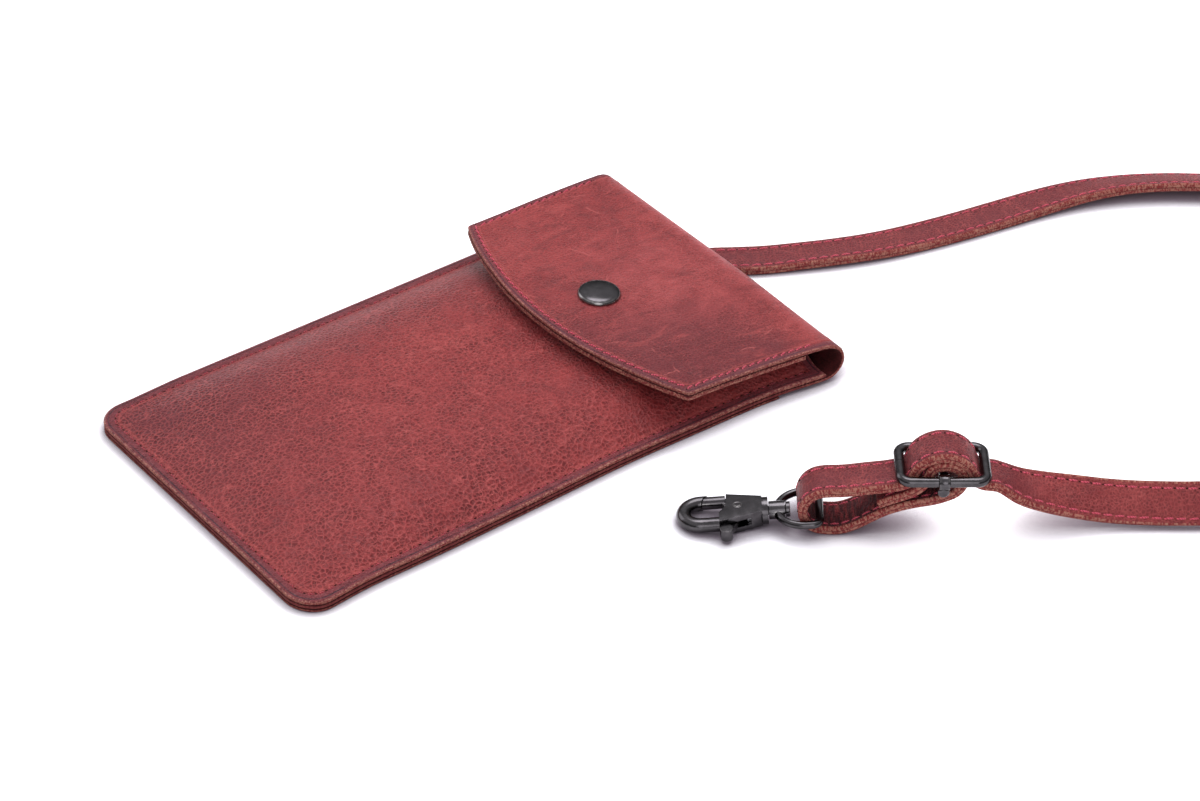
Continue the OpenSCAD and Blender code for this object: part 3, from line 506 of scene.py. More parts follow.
def grain_leather(name, cell_mm=1.3, relief=1.0, streaked=False, creased=False):
    """Oiled pull-up leather: a pale net of ridges round dark pits, clouded, with a burnished rim."""
    material, tree, shader = finish(name, Specular_IOR_Level=0.30, Sheen_Weight=0.03, Sheen_Roughness=0.4)
    flat = wired(tree, "ShaderNodeUVMap", uv_map="flat").outputs[0]
    rim = value_on(tree, "rim")
    warp = wired(tree, "ShaderNodeTexNoise", {"Vector": flat, "Scale": 420.0, "Detail": 1.0})
    shift = {0: warp.outputs["Color"], 1: (WARP_MM * MM, WARP_MM * MM, 0.0)}
    shift = wired(tree, "ShaderNodeVectorMath", shift, operation="MULTIPLY")
    where = wired(tree, "ShaderNodeVectorMath", {0: flat, 1: shift}, operation="ADD").outputs[0]

    def cells(size_mm, feature="F1"):
        given = {"Vector": where, "Scale": 1000 / size_mm}
        return wired(tree, "ShaderNodeTexVoronoi", given, voronoi_dimensions="2D", feature=feature).outputs

    each = cells(cell_mm)
    own_depth = ramp(each["Color"], 0.25, 0.75, 0.35, 1)
    strength = times(ramp(noise(flat, 70, 4.0, 0.65), 0.34, 0.62, 0.45, 1), value_on(tree, "pebble"))
    pit = times(times(ramp(each["Distance"], 0.12, 0.55, 1, 0), own_depth), strength)
    ridge = times(ramp(cells(cell_mm, "DISTANCE_TO_EDGE")["Distance"], 0.02, 0.24, 1, 0), strength)
    fine = ramp(noise(flat, 1500, 3.0, 0.7), 0.42, 0.62)
    pores = noise(flat, 2600, 2.0)
    flow = noise(stretched(flat, 1, 0.55, 1), 330, 2.0, 0.6, 1.2)
    vein = times(ramp(off_line(flow, 0.5), 0.0, 0.035, 1, 0), strength)
    cloud = noise(flat, 22, 3.0, 0.55, 0.6)
    patch = noise(flat, 130, 4.0, 0.6, 0.3)
    smudge = noise(flat, 60, 5.0, 0.7, 1.6)
    tone = added(pores, 0.2, added(cloud, 0.5, added(patch, 0.5, -0.1)))
    layers = [
        (ramp(tone, 0.22, 0.54), RED),
        (ramp(tone, 0.44, 0.76), ROSE),
        (ramp(smudge, 0.54, 0.74, 0, 0.6), DEEP),
        # Tone and painted shade: a value per point mixes the leather towards a darker red, for its own darker
        # tone and as painted shade; where lowered, it is painted light.
        (value_on(tree, "deep"), TONE_AND_SHADE),
        (times(fine, 0.45), DEEP),
        (times(pit, 0.66), PIT),
        (times(ridge, 0.55), RIDGE),
        (times(vein, 0.62), VEIN)]
    if streaked:
        streak = noise(stretched(flat, 1, 0.30, 1), 190, 6.0, 0.72, 0.9)
        some = ramp(noise(flat, 110, 2.0), 0.57, 0.64)
        hair = ramp(cells(21, "DISTANCE_TO_EDGE")["Distance"], 0.0, 0.016, 0.55, 0)
        layers += [
            (ramp(streak, 0.51, 0.70, 0, 0.62), DEEP),
            (ramp(streak, 0.30, 0.47, 0.50, 0), ROSE),
            (times(hair, some), HAIRLINE)]
    # Painted shade: the valleys of the creased loop's folds are painted near black.
    if creased:
        folds = noise(stretched(flat, 1, 0.22, 1), 900, 3.0, 0.6, 0.6)
        folds = times(ramp(folds, 0.38, 0.60, 1, 0), value_on(tree, "creased"))
        layers.append((times(folds, 0.80), FOLD_SHADE))
    # Wear and painted sheen: paler where a value per point is high, along the fold's ridge and in the flap's
    # middle.
    rubbed = ramp(patch, 0.35, 0.65, 0.4, 1)
    # Painted highlight: a paler rose line just inside the seam, on the leather's raised ridge.
    seam_ridge_highlight = ramp(off_line(rim, 4.1), 0.1, 0.6, 0.45, 0)
    crease = ramp(off_line(rim, 1.15), 0.10, 0.34, 0.95, 0)
    layers += [
        (times(value_on(tree, "worn"), rubbed), RUBBED_SHEEN),
        (seam_ridge_highlight, ROSE),
        (ramp(rim, 2.5, 3.2, 0.75, 0), BURNISHED),
        (times(crease, ramp(smudge, 0.36, 0.56, 0.3, 1)), CREASE),
        (times(ramp(rim, 0.14, 0.62, 1, 0), fine), TAN)]
    given_to(shader, "Base Color", layered(DEEP, layers))
    gloss = added(pit, 0.15, added(patch, 0.20, 0.42))
    given_to(shader, "Roughness", added(value_on(tree, "creased"), 0.3, gloss))
    height = times(pit, -0.26 * relief)
    height = added(ridge, 0.13 * relief, height)
    height = added(vein, 0.16 * relief, height)
    height = added(pores, 0.05, height)
    height = added(patch, 0.22, height)
    if creased:
        height = added(folds, -0.45, height)
    bumped(shader, height)
    return material


def cut_leather(name, plies=1):
    """A cut edge: frayed tan fibres near the grain side, dyed red below, dark where plies meet."""
    material, tree, shader = finish(name, Specular_IOR_Level=0.2, Roughness=0.85)
    depth = value_on(tree, "depth")
    dyed = value_on(tree, "dyed")
    where = wired(tree, "ShaderNodeCombineXYZ", {0: value_on(tree, "run"), 1: depth}).outputs[0]
    fibre = ramp(noise(stretched(where, 1.8, 3.0, 1.0), 0.8, 3.0, 0.85), 0.36, 0.64)
    both = added(fibre, 0.45, times(noise(where, 0.22, 3.0, 0.6), 0.55))
    if plies == 2:
        gap = ramp(off_line(depth, 0.5), 0.01, 0.07, 0.75, 0)
    else:
        gap = ramp(added(fibre, 0.60, depth), 0.26, 0.44, 0.8, 0)
        both = calc("ADD", both, ramp(depth, 0.25, 0.85, -0.05, 0.04))
    fresh = times(ramp(both, 0.51, 0.58), added(dyed, -1.0, 1.0))
    given_to(shader, "Base Color", layered(CUT_DARK, [
        (ramp(both, 0.42, 0.52), CUT_LIGHT), (times(dyed, 0.6), CUT_DYED), (fresh, TAN), (gap, CUT_GAP)]))
    bumped(shader, fibre, 0.25)
    return material


def sewing_thread(name, dark, light):
    """Waxed polyester thread: three strands twisted, so darker lines slant across every stitch."""
    material, tree, shader = finish(name, Specular_IOR_Level=0.3, Roughness=0.55, Sheen_Weight=0.1)
    strands = {"Vector": value_on(tree, "spot", "Vector"), "Scale": 900.0, "Distortion": 0.4, "Detail": 1.0}
    strands = wired(tree, "ShaderNodeTexWave", strands, wave_type="BANDS", bands_direction="DIAGONAL")
    tone = ramp(strands.outputs["Fac"], 0.05, 0.75)
    given_to(shader, "Base Color", mixed(tone, dark, light))
    bumped(shader, tone, 0.12)
    return material


def stitch_tree():
    """Geometry Nodes: a stitch of thread and a near-black spot at its end, painted shade for its needle hole,
    set on every point of a seam.
    """
    tree = bpy.data.node_groups.new("seam", "GeometryNodeTree")
    tree.interface.new_socket("Seam", in_out="OUTPUT", socket_type="NodeSocketGeometry")
    sizes = [(key, "Float") for key in ("Pitch", "Stitch length", "Thread", "Dip", "Hole", "Slant")]
    finishes = [("Thread finish", "Material"), ("Hole finish", "Material")]
    for key, kind in [("Places", "Geometry"), *sizes, ("Seed", "Int"), *finishes]:
        tree.interface.new_socket(key, in_out="INPUT", socket_type="NodeSocket" + kind)
    given = wired(tree, "NodeGroupInput").outputs

    def along_x(x, z):
        return wired(tree, "ShaderNodeCombineXYZ", {0: x, 2: z})

    half = times(given["Stitch length"], 0.5)
    dip = times(given["Dip"], -1.0)
    line = wired(tree, "GeometryNodeCurveQuadraticBezier", {
        "Resolution": 5, "Start": along_x(times(half, -1.0), dip),
        "Middle": along_x(0.0, given["Dip"]), "End": along_x(half, dip)})
    radius = times(given["Thread"], 0.5)
    ring = wired(tree, "GeometryNodeCurvePrimitiveCircle", {"Resolution": 6, "Radius": radius}, mode="RADIUS")
    thread = wired(tree, "GeometryNodeCurveToMesh", {"Curve": line, "Profile Curve": ring, "Fill Caps": True})
    ball = wired(tree, "GeometryNodeMeshUVSphere", {"Segments": 7, "Rings": 4, "Radius": given["Hole"]})
    hole = wired(tree, "GeometryNodeTransform", {
        "Geometry": ball.outputs["Mesh"], "Scale": (1.35, 0.85, 0.45),
        "Translation": along_x(times(given["Pitch"], 0.5), times(dip, 0.35))})

    def marked(geometry, key, value, kind):
        inputs = {"Geometry": geometry, "Name": key, "Value": value}
        return wired(tree, "GeometryNodeStoreNamedAttribute", inputs, data_type=kind, domain="POINT")

    both = wired(tree, "GeometryNodeJoinGeometry")
    for part, value in ((thread, 0.0), (hole, 1.0)):
        tree.links.new(marked(part, "hole", value, "FLOAT").outputs[0], both.inputs[0])
    stitch = marked(both, "spot", wired(tree, "GeometryNodeInputPosition"), "FLOAT_VECTOR")

    def read(key, kind="FLOAT_VECTOR"):
        return wired(tree, "GeometryNodeInputNamedAttribute", {"Name": key}, data_type=kind)

    facing = wired(tree, "FunctionNodeAlignRotationToVector", {"Vector": read("along")}, axis="X")
    facing = {"Rotation": facing, "Vector": read("up")}
    facing = wired(tree, "FunctionNodeAlignRotationToVector", facing, axis="Z", pivot_axis="X")
    loose = {"Min": (-0.03, -0.02, -0.06), "Max": (0.03, 0.02, 0.06), "Seed": given["Seed"]}
    loose = wired(tree, "FunctionNodeRandomValue", loose, data_type="FLOAT_VECTOR")
    lean = {0: loose, 1: along_x(0.0, given["Slant"])}
    lean = wired(tree, "ShaderNodeVectorMath", lean, operation="ADD")
    turn = wired(tree, "FunctionNodeRotateRotation", {0: facing, 1: lean}, rotation_space="LOCAL")
    placed = {"Points": given["Places"], "Instance": stitch, "Rotation": turn}
    placed = wired(tree, "GeometryNodeInstanceOnPoints", placed)
    real = wired(tree, "GeometryNodeRealizeInstances", {0: placed})
    dressed = wired(tree, "GeometryNodeSetMaterial", {"Geometry": real, "Material": given["Thread finish"]})
    chosen = {0: read("hole", "FLOAT"), 1: 0.5}
    chosen = wired(tree, "FunctionNodeCompare", chosen, data_type="FLOAT", operation="GREATER_THAN")
    dressed = {"Geometry": dressed, "Selection": chosen, "Material": given["Hole finish"]}
    dressed = wired(tree, "GeometryNodeSetMaterial", dressed)
    wired(tree, "NodeGroupOutput", {0: dressed})
    return tree


bright_thread = sewing_thread("bright thread", rgb(0.26, 0.018, 0.036), rgb(0.62, 0.075, 0.12))
# Painted shade: a darker copy of the same thread for the pouch's seams, where it lies sunk in the leather.
shaded_thread = sewing_thread("shaded thread", rgb(0.12, 0.008, 0.014), rgb(0.4, 0.04, 0.058))
# Painted shade: the needle holes are near-black spots that stand in for the shade inside them.
hole_shade, tree, shader = finish("needle hole", Roughness=0.95, Specular_IOR_Level=0.1)
dark = noise(own_place(tree), 900)
given_to(shader, "Base Color", mixed(dark, rgb(0.01, 0.003, 0.003), rgb(0.03, 0.008, 0.009)))
seam_tree = stitch_tree()


def sewn(
        name, places, body, pitch, length, replaces=(), thread=bright_thread, *, thick, hole, seed, dip=0.34,
        slant=0.0):
    """The stitches of one body's seams, from rows of place, direction along and direction up."""
    spots, alongs, ups = (np.vstack(rows) for rows in zip(*places))
    obj = built(name, spots, [])
    for key, rows in (("along", alongs), ("up", ups)):
        obj.data.attributes.new(key, "FLOAT_VECTOR", "POINT").data.foreach_set("vector", unit(rows).ravel())
    given = {
        "Pitch": pitch * MM, "Stitch length": length * MM, "Thread": thick * MM, "Dip": dip * MM,
        "Hole": hole * MM, "Slant": slant, "Seed": seed, "Thread finish": thread, "Hole finish": hole_shade}
    modifier = obj.modifiers.new("seam", "NODES")
    modifier.node_group = seam_tree
    for socket in seam_tree.interface.items_tree:
        if socket.name in given:
            modifier[socket.identifier] = given[socket.name]
    settled(obj)
    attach(obj, body)
    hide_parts(*replaces)


strap_grain = grain_leather("strap grain", cell_mm=0.95, relief=0.5, creased=True)
strap_edge = cut_leather("strap edge", plies=2)

FACE_MIDDLE = 10
BACK_MIDDLE = 30
verts, flat_map, faces, slots = [], [], [], []
size = len(BAND)
half = size // 2
for c, s, u, share, r in zip(centre, side, up, line[:, 4], run):
    verts += [c + s * a + u * b * share for a, b in BAND]
    flat_map += [(r, FACE_MIDDLE + a if k < half else BACK_MIDDLE - a) for k, (a, b) in enumerate(BAND)]
for i in range(len(centre) - 1):
    for k in range(size):
        j = (k + 1) % size
        faces.append((i * size + k, (i + 1) * size + k, (i + 1) * size + j, i * size + j))
        slots.append(int(k % half >= len(BAND_FACE) - 1))
# Counted from the strap's end: the loop round the eye is creased and painted darker inside, as
# painted shade, and a stretch before it is painted paler, as painted light where it turns from the lamp.
left = run[-1] - run
creased = np.outer(soft_step(-left, -96, -88) * soft_step(left, 30, 38), np.arange(size) >= half).ravel()
lit = soft_step(-left, -290, -240) * soft_step(left, 148, 164)
last = (len(centre) - 1) * size
faces += [tuple(range(size)), tuple(range(last + size - 1, last - 1, -1))]
slots += [1, 1]
strap = built(
    "strap", verts, faces, flat_map, slots, [strap_grain, strap_edge],
    rim=np.tile([BAND_RIM - abs(a) for a, b in BAND], len(centre)),
    depth=np.tile([(b / STRAP_HALF_T + 1) / 2 for a, b in BAND], len(centre)),
    run=np.repeat(run, size), pebble=np.full(len(verts), 0.7), creased=creased,
    deep=0.90 + 0.05 * creased - 0.74 * np.repeat(lit, size))
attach(strap, "pouch")
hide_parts("strap_upper", "strap_coil", "strap_lower", "strap_loop")

STRAP_PITCH = 3.3
THREAD_LIFT = 1.26
rows = []
at = np.arange(run[np.argmax(line[:, 4] > 0.99)], run[-1] - 1.5, STRAP_PITCH)
row_centre, row_side, row_up, row_along = (
    np.column_stack([np.interp(at, run, values[:, k]) for k in range(3)])
    for values in (centre, side, up * line[:, 4:], along))
for across in (-GROOVE, GROOVE):
    for face_up in (1, -1):
        spots = row_centre + row_side * across + row_up * face_up * THREAD_LIFT
        rows.append((spots, row_along, row_up * face_up))
sewn("strap_thread", rows, "pouch", STRAP_PITCH, 2.7, thick=0.62, dip=0.42, hole=0.3, slant=0.05, seed=3)


# Main leather: the back, the fold and the flap's outside are one long strip with a bowed end. It is
# cut and creased flat, then each point goes to its place on the pouch.
HALF_W = 52.5
END_Y = -91
CORNER_R = 8.5
LEATHER = 1.3
HINGE = (84.5, 7.5)
FOLD_IN = 5.2
RISE = radians(2.82186)
BACK_L = HINGE[0] - END_Y
FOLD_L = (FOLD_IN + LEATHER / 2) * (pi - RISE)
FLAP_L = 60
BOW = 12.5
BOW_R = (HALF_W ** 2 + BOW ** 2) / (2 * BOW)
FLAP_V = BACK_L + FOLD_L
SNAP_V = FLAP_V + 39
POST_HOLE_R = 2.3
FLAP_CORNER = 1.6
BOW_AT = FLAP_V + FLAP_L - BOW_R
STITCH_IN = 3.1
FLAP_STITCH_IN = 2.2
BULGE = 0.10
UNDER_SHIFT = 400
ROWS_IN = [0.2, 0.5, 0.8, 1.1, 1.5, 1.9, 2.2, 2.5, 2.8, 3.1, 3.4, 3.8, 4.6, 6.0, 8.5]


def arc(cx, cy, r, start, end, step=1.5):
    count = max(2, ceil(abs(end - start) * pi / 180 * r / step))
    return [round_at(cx, cy, r, a) for a in np.linspace(start, end, count + 1)]


def round_bottom(far_points, inset=0):
    """An outline with the pouch's two rounded bottom corners at v = 0, then the far end's points."""
    x = HALF_W - CORNER_R
    r = CORNER_R - inset
    return arc(-x, CORNER_R, r, 180, 270) + arc(x, CORNER_R, r, 270, 360) + far_points


def stepped(points, step, closed=True):
    """The line with points about every step, its own corners kept."""
    ring = []
    for a, b in zip(points, points[1:] + (points[:1] if closed else [])):
        gap = hypot(b[0] - a[0], b[1] - a[1])
        if gap > 1e-6:
            n = max(1, round(gap / step))
            ring += [(a[0] + (b[0] - a[0]) * k / n, a[1] + (b[1] - a[1]) * k / n) for k in range(n)]
    return np.array(ring if closed else ring + [points[-1]])


def rim_distance(points, ring):
    """How far each point lies from the nearest point of a closed line."""
    best = np.full(len(points), 1e9)
    for start, step in zip(ring, np.roll(ring, -1, axis=0) - ring):
        t = np.clip(((points - start) @ step) / (step @ step), 0, 1)
        best = np.minimum(best, np.linalg.norm(points - start - t[:, None] * step, axis=1))
    return best


def inside(points, ring):
    """Which points lie within a closed line."""
    x, y = points.T
    odd = np.zeros(len(points), bool)
    for (x0, y0), (x1, y1) in zip(ring, np.roll(ring, -1, axis=0)):
        if y0 != y1:
            odd ^= ((y0 > y) != (y1 > y)) & (x < (x1 - x0) * (y - y0) / (y1 - y0) + x0)
    return odd


def flat_net(outline, holes, columns, rows):
    """Triangles of a flat cut piece: rows of points that follow its rim, and a grid inside them."""
    ring = stepped(outline, 1.5)
    loops = [ring] + [np.array(arc(x, y, r, 0, 360, 0.7)[:-1]) for x, y, r in holes]
    turn = np.roll(ring, -1, axis=0) - np.roll(ring, 1, axis=0)
    inward = unit(np.c_[-turn[:, 1], turn[:, 0]])
    more = []
    for d in ROWS_IN:
        row = ring + inward * d
        more.append(row[rim_distance(row, ring) > d - 0.02])
    grid = np.array([(u, v) for u in columns for v in rows])
    grid = grid[inside(grid, ring)]
    more = np.vstack([*more, grid[rim_distance(grid, ring) > ROWS_IN[-1] + 1.0]])
    for x, y, r in holes:
        more = more[np.hypot(more[:, 0] - x, more[:, 1] - y) > r + 0.6]
    firsts = np.cumsum([0] + [len(loop) for loop in loops])
    edges = [(f + i, f + (i + 1) % len(loop)) for f, loop in zip(firsts, loops) for i in range(len(loop))]
    found = delaunay_2d_cdt([Vector(p) for p in np.vstack([*loops, more])], edges, [], 0, 1e-5)
    net = np.array([tuple(v) for v in found[0]])
    tris = np.array([f for f in found[2] if len(f) == 3])
    middle = net[tris].mean(axis=1)
    keep = inside(middle, ring)
    for x, y, r in holes:
        keep &= np.hypot(middle[:, 0] - x, middle[:, 1] - y) > r
    tris = tris[keep]
    a, b, c = (net[tris[:, k]] for k in range(3))
    flips = (b[:, 0] - a[:, 0]) * (c[:, 1] - a[:, 1]) < (b[:, 1] - a[:, 1]) * (c[:, 0] - a[:, 0])
    tris[flips] = tris[flips][:, ::-1]
    came_from = {old: i for i, olds in enumerate(found[3]) for old in olds}
    rims = [[came_from[f + i] for i in range(len(loop))] for f, loop in zip(firsts, loops)]
    return net, tris, rims, rim_distance(net, ring)


def even(value):
    """The same value all over a piece."""
    return lambda u, v: np.full(len(u), value)


def cut_piece(name, net, place, thick, grain, pebble, seam_in=even(STITCH_IN), flare=0.0, **tones):
    """Leather cut to a flat net: grain skin, flesh skin and a slightly bulged cut edge, put in place."""
    flat, tris, rims, rim = net
    count = len(flat)
    shoulder = 0.32 * (1 - soft_step(rim, 0, 0.7)) ** 2
    rim = rim * STITCH_IN / seam_in(*flat.T)
    puff = flare * (1 - soft_step(rim, 0.6, STITCH_IN))
    pressed = 0.15 * bell(rim, STITCH_IN, 0.42) + 0.10 * bell(rim, 1.15, 0.25) - puff
    pressed -= 0.14 * bell(rim, STITCH_IN + 1.1, 0.5)
    low = shoulder * 0.5
    verts = [place(*flat.T, thick - shoulder - pressed), place(*flat.T, low)]
    faces = [*tris, *(tris[:, ::-1] + count)]
    slots = [0] * len(tris) + [1] * len(tris)
    run_top = np.zeros(count)
    runs = []
    depths = []
    base = 2 * count
    for rim_loop in rims:
        ring = flat[rim_loop]
        out = np.roll(ring, -1, axis=0) - np.roll(ring, 1, axis=0)
        out = unit(np.c_[out[:, 1], -out[:, 0]])
        outer = rim_loop is rims[0]
        bulged = ring + out * (BULGE if outer else 0)
        chain = [list(rim_loop)]
        along_rim = np.cumsum(np.linalg.norm(ring - np.roll(ring, 1, axis=0), axis=1))
        run_top[rim_loop] = along_rim
        for depth in (0.70, 0.40):
            verts.append(place(*bulged.T, np.full(len(ring), (thick + flare) * depth)))
            chain.append(list(range(base, base + len(ring))))
            runs.append(along_rim)
            depths.append(np.full(len(ring), depth))
            base += len(ring)
        chain.append([i + count for i in rim_loop])
        for upper, lower in zip(chain, chain[1:]):
            for i in range(len(ring)):
                j = (i + 1) % len(ring)
                quad = (upper[i], lower[i], lower[j], upper[j])
                faces.append(quad if outer else quad[::-1])
                slots.append(2)
    extra = base - 2 * count
    both = pebble(*flat.T)
    tones = {key: np.tile(tone(*flat.T), 2) for key, tone in tones.items()}
    rims_at = np.concatenate([np.tile(loop, 2) for loop in rims])
    return built(
        name, np.vstack(verts), [tuple(int(i) for i in f) for f in faces],
        np.vstack([flat, flat + (0, UNDER_SHIFT), np.zeros((extra, 2))]), slots, [grain, flesh, cut_edge],
        rim=np.r_[rim, rim, np.zeros(extra)], pebble=np.r_[both, both, np.zeros(extra)],
        run=np.r_[run_top, run_top, *runs], depth=np.r_[np.ones(count), np.zeros(count), *depths],
        **{key: np.r_[tone, tone[rims_at]] for key, tone in tones.items()})


def slack(u, v):
    """How far the side edges of the sewn leather wander out of line along the pouch, in millimetres."""
    near = 1.7 * bell(v, 4, 13) - 0.9 * bell(v, 108, 26) + 0.5 * bell(v, 40, 22) + 3.4 * bell(v, 180, 17)
    far = -0.8 * soft_step(v, 8, 30) * soft_step(v, 172, 130)
    return near * np.clip(u / HALF_W, 0, 1) ** 3 + far * np.clip(-u / HALF_W, 0, 1) ** 3


def main_place(u, v, h):
    """Where a point of the flat strip goes; h is its height above the flesh side."""
    turn = -pi / 2 + np.clip((v - BACK_L) / FOLD_L, 0, 1) * (pi - RISE)
    past = np.maximum(v - BACK_L - FOLD_L, 0)
    sag = soft_step(past, 4, 52) * (1.5 * soft_step(-u, 26, 56) + 0.5 * soft_step(u, 30, 56))
    sag += 1.8 * soft_step(u, 8, 52) * soft_step(v, BACK_L + 4, FLAP_V) * soft_step(-past, -46, -8)
    y = HINGE[0] + (FOLD_IN + h) * np.cos(turn) - past * cos(RISE) - np.maximum(BACK_L - v, 0)
    z = HINGE[1] + (FOLD_IN + h) * np.sin(turn) + past * sin(RISE) - sag
    return np.c_[u + slack(u, v), y, z]


corner_turn = degrees(asin((HALF_W - FLAP_CORNER) / (BOW_R - FLAP_CORNER)))
corner_at = (HALF_W - FLAP_CORNER, BOW_AT + (BOW_R - FLAP_CORNER) * cos(radians(corner_turn)))
bow = (
    arc(*corner_at, FLAP_CORNER, 0, 90 - corner_turn, 0.4)
    + arc(0, BOW_AT, BOW_R, 90 - corner_turn, 90 + corner_turn)
    + arc(-corner_at[0], corner_at[1], FLAP_CORNER, 90 + corner_turn, 180, 0.4))
main_rows = np.r_[
    np.arange(4, BACK_L - 7, 4.0), np.arange(BACK_L - 6, FLAP_V + 6, 0.8),
    np.arange(FLAP_V + 8, FLAP_V + FLAP_L, 2.5)]
main_net = flat_net(round_bottom(bow), [(0, SNAP_V, POST_HOLE_R)], np.arange(-50, 51, 3.0), main_rows)
main_grain = grain_leather("main grain", cell_mm=1.1, streaked=True)
cut_edge = cut_leather("cut edge")

# The flesh side of the leather: short fibres and soft patches, no grain. It is painted darker than
# its own colour, as painted shade for the insides where it shows.
FLESH_LIGHT = rgb(0.07, 0.01, 0.011)
FLESH_DARK = rgb(0.026, 0.004, 0.004)
flesh, tree, shader = finish("flesh side", Specular_IOR_Level=0.15, Roughness=0.9)
place = own_place(tree)
nap = added(noise(place, 2400, 3.0, 0.7), 0.5, times(noise(place, 260, 4.0, 0.6), 0.5))
given_to(shader, "Base Color", mixed(ramp(nap, 0.38, 0.64), FLESH_DARK, FLESH_LIGHT))
bumped(shader, nap, 0.4)

main_leather = cut_piece(
    "main_leather", main_net, main_place, LEATHER, main_grain,
    lambda u, v: 0.5 + 0.3 * soft_step(np.abs(v - FLAP_V - 20), 22, 45),
    lambda u, v: np.where(v > FLAP_V - 4, FLAP_STITCH_IN, STITCH_IN),
    # Paler along the fold's ridge and in the flap's middle: pull-up wear, and painted sheen.
    worn=lambda u, v: (
        0.55 * bell(v, FLAP_V - 3.0, 3.0) + 0.28 * bell(np.hypot(u - 2, v - FLAP_V - 20), 0, 26)),
    # Darker towards the flap's near side and tip.
    deep=lambda u, v: (
        0.04 + 0.80 * soft_step(u + 0.5 * (v - FLAP_V), 16, 50) * soft_step(v, FLAP_V, FLAP_V + 14)),
    dyed=lambda u, v: 0.9 * soft_step(-v, -BACK_L, 10 - BACK_L))
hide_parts("back_panel", "flap_fold", "flap_panel")
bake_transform(main_leather)


# Front: a leather shell, sewn to the back along three edges and stretched over what it holds, so it
# is crowned from a flat sewn rim up to its open mouth.
CROWN = 7.2
SEAM_Z = 2.3
MOUTH_L = 175.2
SNAP_AT = 45.6962 - END_Y
STUD_HOLE_R = 1.4


def front_place(u, v, h):
    near = np.clip(CORNER_R - v, 0, CORNER_R)
    half = HALF_W - CORNER_R + np.sqrt(CORNER_R ** 2 - near ** 2)
    rise = 1 - (1 - np.clip((v - CORNER_R / 2) / 60, 0, 1)) ** 3
    across = np.clip(np.abs(u) / (half - 4), 0, 1)
    return np.c_[u + slack(u, v), END_Y + v, SEAM_Z + CROWN * rise * (1 - across ** 4.5) + h]


front_net = flat_net(
    round_bottom([(HALF_W, MOUTH_L), (-HALF_W, MOUTH_L)]), [(0, SNAP_AT, STUD_HOLE_R)],
    np.arange(-49, 50, 2.0), np.arange(4, MOUTH_L, 2.0))
front = cut_piece(
    "front", front_net, front_place, LEATHER, grain_leather("front grain"),
    lambda u, v: 0.65 + 0.35 * soft_step(v, 150, 60), dyed=lambda u, v: soft_step(v, MOUTH_L - 2, MOUTH_L),
    # Darker low on the far half, and along the far side as painted shade where the crown slopes away.
    deep=lambda u, v: (
        0.6 * bell(np.hypot(u + 22, v - 20), 0, 28) + 0.08 * soft_step(v, 90, 30)
        + 0.6 * soft_step(-u, 16, 44)))
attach(front, "pouch")
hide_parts("front_panel")


# Flap lining: a second leather sewn back to back under the flap, its grain side down. It is cut off
# short of the fold, which a double leather would make too stiff to bend.
LINING_DROP = 13


def lining_place(u, v, h):
    return main_place(u, v, -h)


lining_v = FLAP_V + LINING_DROP - FOLD_IN - LEATHER
lining_net = flat_net(
    [(-HALF_W, lining_v), (HALF_W, lining_v)] + bow, [(0, SNAP_V, POST_HOLE_R)], np.arange(-49, 50, 3.5),
    np.arange(lining_v, FLAP_V + FLAP_L, 3.5))
lining = cut_piece(
    "flap_lining_leather", lining_net, lining_place, LEATHER, main_grain, even(0.4), even(FLAP_STITCH_IN),
    flare=0.5)
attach(lining, "flap")
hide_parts("flap_lining")


# Slip pocket: thinner leather, cut like the back and sewn flat under it along three edges. It stays
# open towards the fold and holds a card or a note.
POCKET = 1
POCKET_L = 160


def pocket_place(u, v, h):
    return np.c_[u + slack(u, v), END_Y + v, POCKET - h]


pocket_net = flat_net(
    round_bottom([(HALF_W, POCKET_L), (-HALF_W, POCKET_L)]), [], np.arange(-49, 50, 5.0),
    np.arange(4, POCKET_L, 5.0))
pocket = cut_piece("slip_pocket", pocket_net, pocket_place, POCKET, main_grain, even(0.5), dyed=even(0.15))
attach(pocket, "pouch")
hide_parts("back_pocket")


# Seams: one thread line 3.1 mm inside the edge holds the front, the back and the slip pocket, and
# another holds the flap's two leathers. Both show on the two faces that they join.
POUCH_PITCH = 3.05
FLAP_PITCH = 2.75


def seam(path, place, height, pitch=POUCH_PITCH):
    """Place, direction along and direction up of each stitch of a seam drawn on the flat leather."""
    steps = stepped(path, 0.5, closed=False)
    length = run_of(steps)
    at = np.arange(pitch / 2, length[-1], pitch)
    spots, before, after = (
        np.column_stack([np.interp(at + shift, length, steps[:, k]) for k in (0, 1)])
        for shift in (0, -0.5, 0.5))
    h = np.full(len(at), height)
    here = place(*spots.T, h)
    ahead = place(*after.T, h) - place(*before.T, h)
    return here, ahead, place(*spots.T, h + 0.1) - here


inner = HALF_W - STITCH_IN


def u_path(top):
    return [(-inner, top)] + round_bottom([(inner, top)], STITCH_IN)


def flap_path(start):
    x = HALF_W - FLAP_STITCH_IN
    end_turn = degrees(asin(x / (BOW_R - FLAP_STITCH_IN)))
    return [(x, start), *arc(0, BOW_AT, BOW_R - FLAP_STITCH_IN, 90 - end_turn, 90 + end_turn), (-x, start)]


